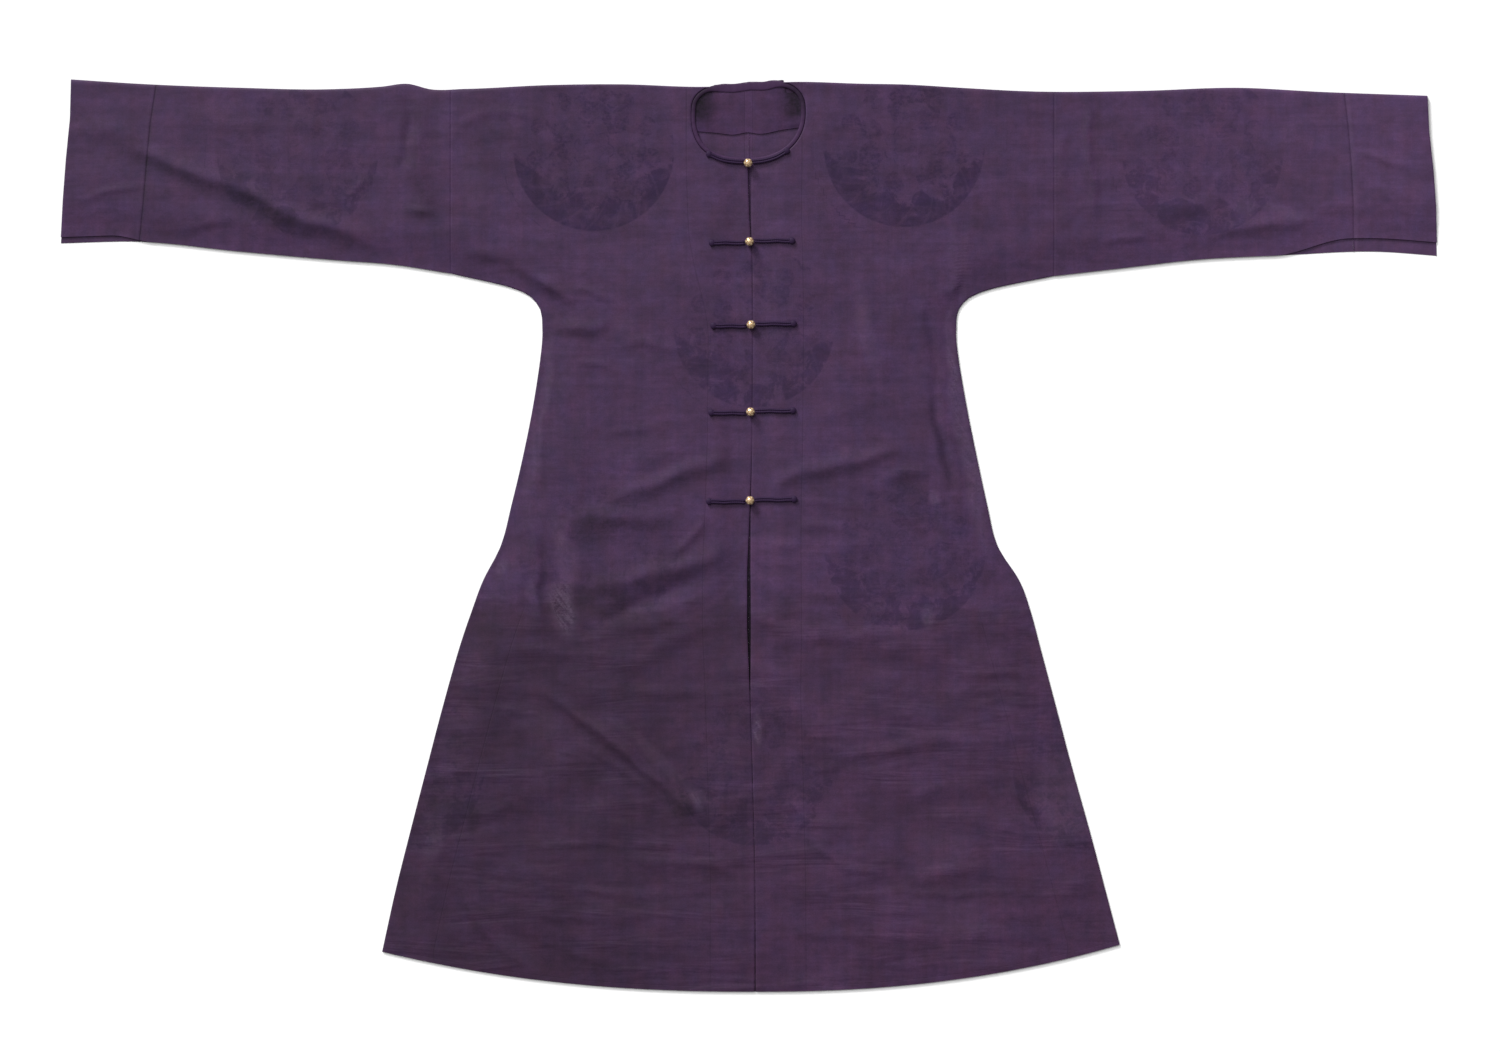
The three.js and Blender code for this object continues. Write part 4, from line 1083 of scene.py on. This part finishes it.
Frog = namedtuple("Frog", "x y right left")
frogs = [Frog(*row) for row in [
    (-0.9, 446.2, 47, 47), (0.8, 352.1, 48, 54), (2.6, 252.5, 48, 54), (2.0, 148.1, 50, 54),
    (1.4, 41.9, 52, 56),
]]
frog_drop = 2.6
ball_radius = 5.25
strand = 1.45
strand_apart = 1.3
top_cord_turns = {"right": [1.5, 9, 22, 37], "left": [2.75, 12, 26, 40.5]}
binding_top = binding_foot + binding_height
Knot = namedtuple("Knot", "length width height")
knot = Knot(7.5, 8.2, 3.4)
knot_steps = 12
cord_steps = 60


def strand_rings(route, way, foot, offset, radius):
    """One strand beside the route, lightly twisted and thinner at its two ends."""
    rings = []
    count = len(route)
    for k in range(count):
        twist = 1 + 0.06 * math.sin(1.9 * k)
        taper = 0.55 + 0.45 * smoothstep(min(k, count - 1 - k), 0, 3)
        r = radius * twist * taper
        ring = []
        for angle in ring_angles(12):
            place = beside(route, way, k, offset + r * math.cos(angle))
            ring.append((*place, foot[k] + radius + r * math.sin(angle)))
        rings.append(ring)
    return rings


def knot_rings(centre, foot):
    """The small wrapped knot at the outer end of a cord."""
    rings = []
    for k in range(knot_steps + 1):
        along = -math.cos(math.pi * k / knot_steps)
        size = math.sin(math.pi * k / knot_steps) * 0.98 + 0.02
        wrap = 1 + 0.08 * math.cos(5 * math.pi * k / 6)
        ring = []
        for angle in ring_angles(14):
            y = centre[1] + knot.width / 2 * size * wrap * math.cos(angle)
            z = foot + knot.height / 2 * (1 + size * wrap * math.sin(angle))
            ring.append((centre[0] + along * knot.length / 2, y, z))
        rings.append(ring)
    return rings


def doubled_cord(name, points, foot_at, node):
    route, way = route_points(points, cord_steps)
    foot = [foot_at(x, y) for x, y in route]
    parts = [
        closed_strip(name, strand_rings(route, way, foot, strand_apart, strand), cord_silk),
        closed_strip(name + "_b", strand_rings(route, way, foot, -strand_apart, strand), cord_silk),
        closed_strip(name + "_c", knot_rings(route[-1], foot[-1]), cord_silk),
    ]
    bpy.ops.object.select_all(action="DESELECT")
    for part in parts:
        part.select_set(True)
    bpy.context.view_layer.objects.active = parts[0]
    bpy.ops.object.join()
    cord = parts[0]
    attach(cord, "root")
    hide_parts(node)


for number, frog in enumerate(frogs, 1):
    for side, kind in (("right", "tab"), ("left", "loop")):
        if number == 1:
            points = [neck_point(side, turn, -seam_gap) for turn in top_cord_turns[side]]
            foot_at = lambda x, y: binding_top + seam_gap
        else:
            y = frog.y + sign[side] * frog_drop / 2
            start = frog.x + sign[side] * (ball_radius + seam_gap)
            end = frog.x + sign[side] * (getattr(frog, side) - 3)
            points = [
                (start + (end - start) * k / 5, y + 0.35 * math.sin(2 * k + number))
                for k in range(6)]
            foot_at = lambda x, y: float(front_foot(side, x, y)) + wall + seam_gap
        node = kind + "_" + str(number)
        doubled_cord(node + "_cord", points, foot_at, node)

# Ball buttons. Hollow gilt brass balls, chased all over with rings of small petals, each held by
# its tab and buttoned through its loop.
gilt, tree, shader = new_finish("chased_gilt_brass")
place = add_node(tree, "ShaderNodeTexCoord").outputs["Object"]
tarnish = noise(place, (1, 1, 1), 350.0, 3.0, 0.6)
hollow = add_node(tree, "ShaderNodeAttribute", attribute_name="hollow").outputs["Fac"]
dirt = lowest(scaled(tarnish, 0.2, times(hollow, 0.7)), 1.0)
gilt_colour = blend(dirt, (1.0, 0.82, 0.50, 1), (0.34, 0.15, 0.06, 1))
tree.links.new(gilt_colour, shader.inputs["Base Color"])
shader.inputs["Metallic"].default_value = 0.5
tree.links.new(scaled(tarnish, 0.15, 0.18), shader.inputs["Roughness"])

chasing = 0.045
for number, frog in enumerate(frogs, 1):
    foot = binding_top if number == 1 else float(front_foot("left", frog.x, frog.y)) + wall
    centre = (frog.x, frog.y, foot + seam_gap + ball_radius)
    bpy.ops.object.select_all(action="DESELECT")
    bpy.ops.mesh.primitive_uv_sphere_add(segments=60, ring_count=36, radius=1)
    ball = bpy.context.object
    ball.name = "ball_" + str(number) + "_gilt"
    mesh = ball.data
    points = vertex_places(mesh)
    turn = np.arctan2(points[:, 1], points[:, 0])
    lift = np.arcsin(np.clip(points[:, 2], -1, 1))
    petals = np.cos(6 * turn + 3 * np.sin(2 * lift)) * np.cos(5 * lift) * np.cos(lift)
    cut = smoothstep(petals, -0.2, 0.5)
    radius = ball_radius * (1 - chasing + chasing * cut)
    places = points * radius[:, None] + np.array(centre)
    mesh.vertices.foreach_set("co", (places * mm).ravel())
    set_values(mesh, "hollow", 1 - cut)
    mesh.update()
    bpy.ops.object.shade_smooth()
    mesh.materials.append(gilt)
    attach(ball, "root")
    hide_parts("button_" + str(number))
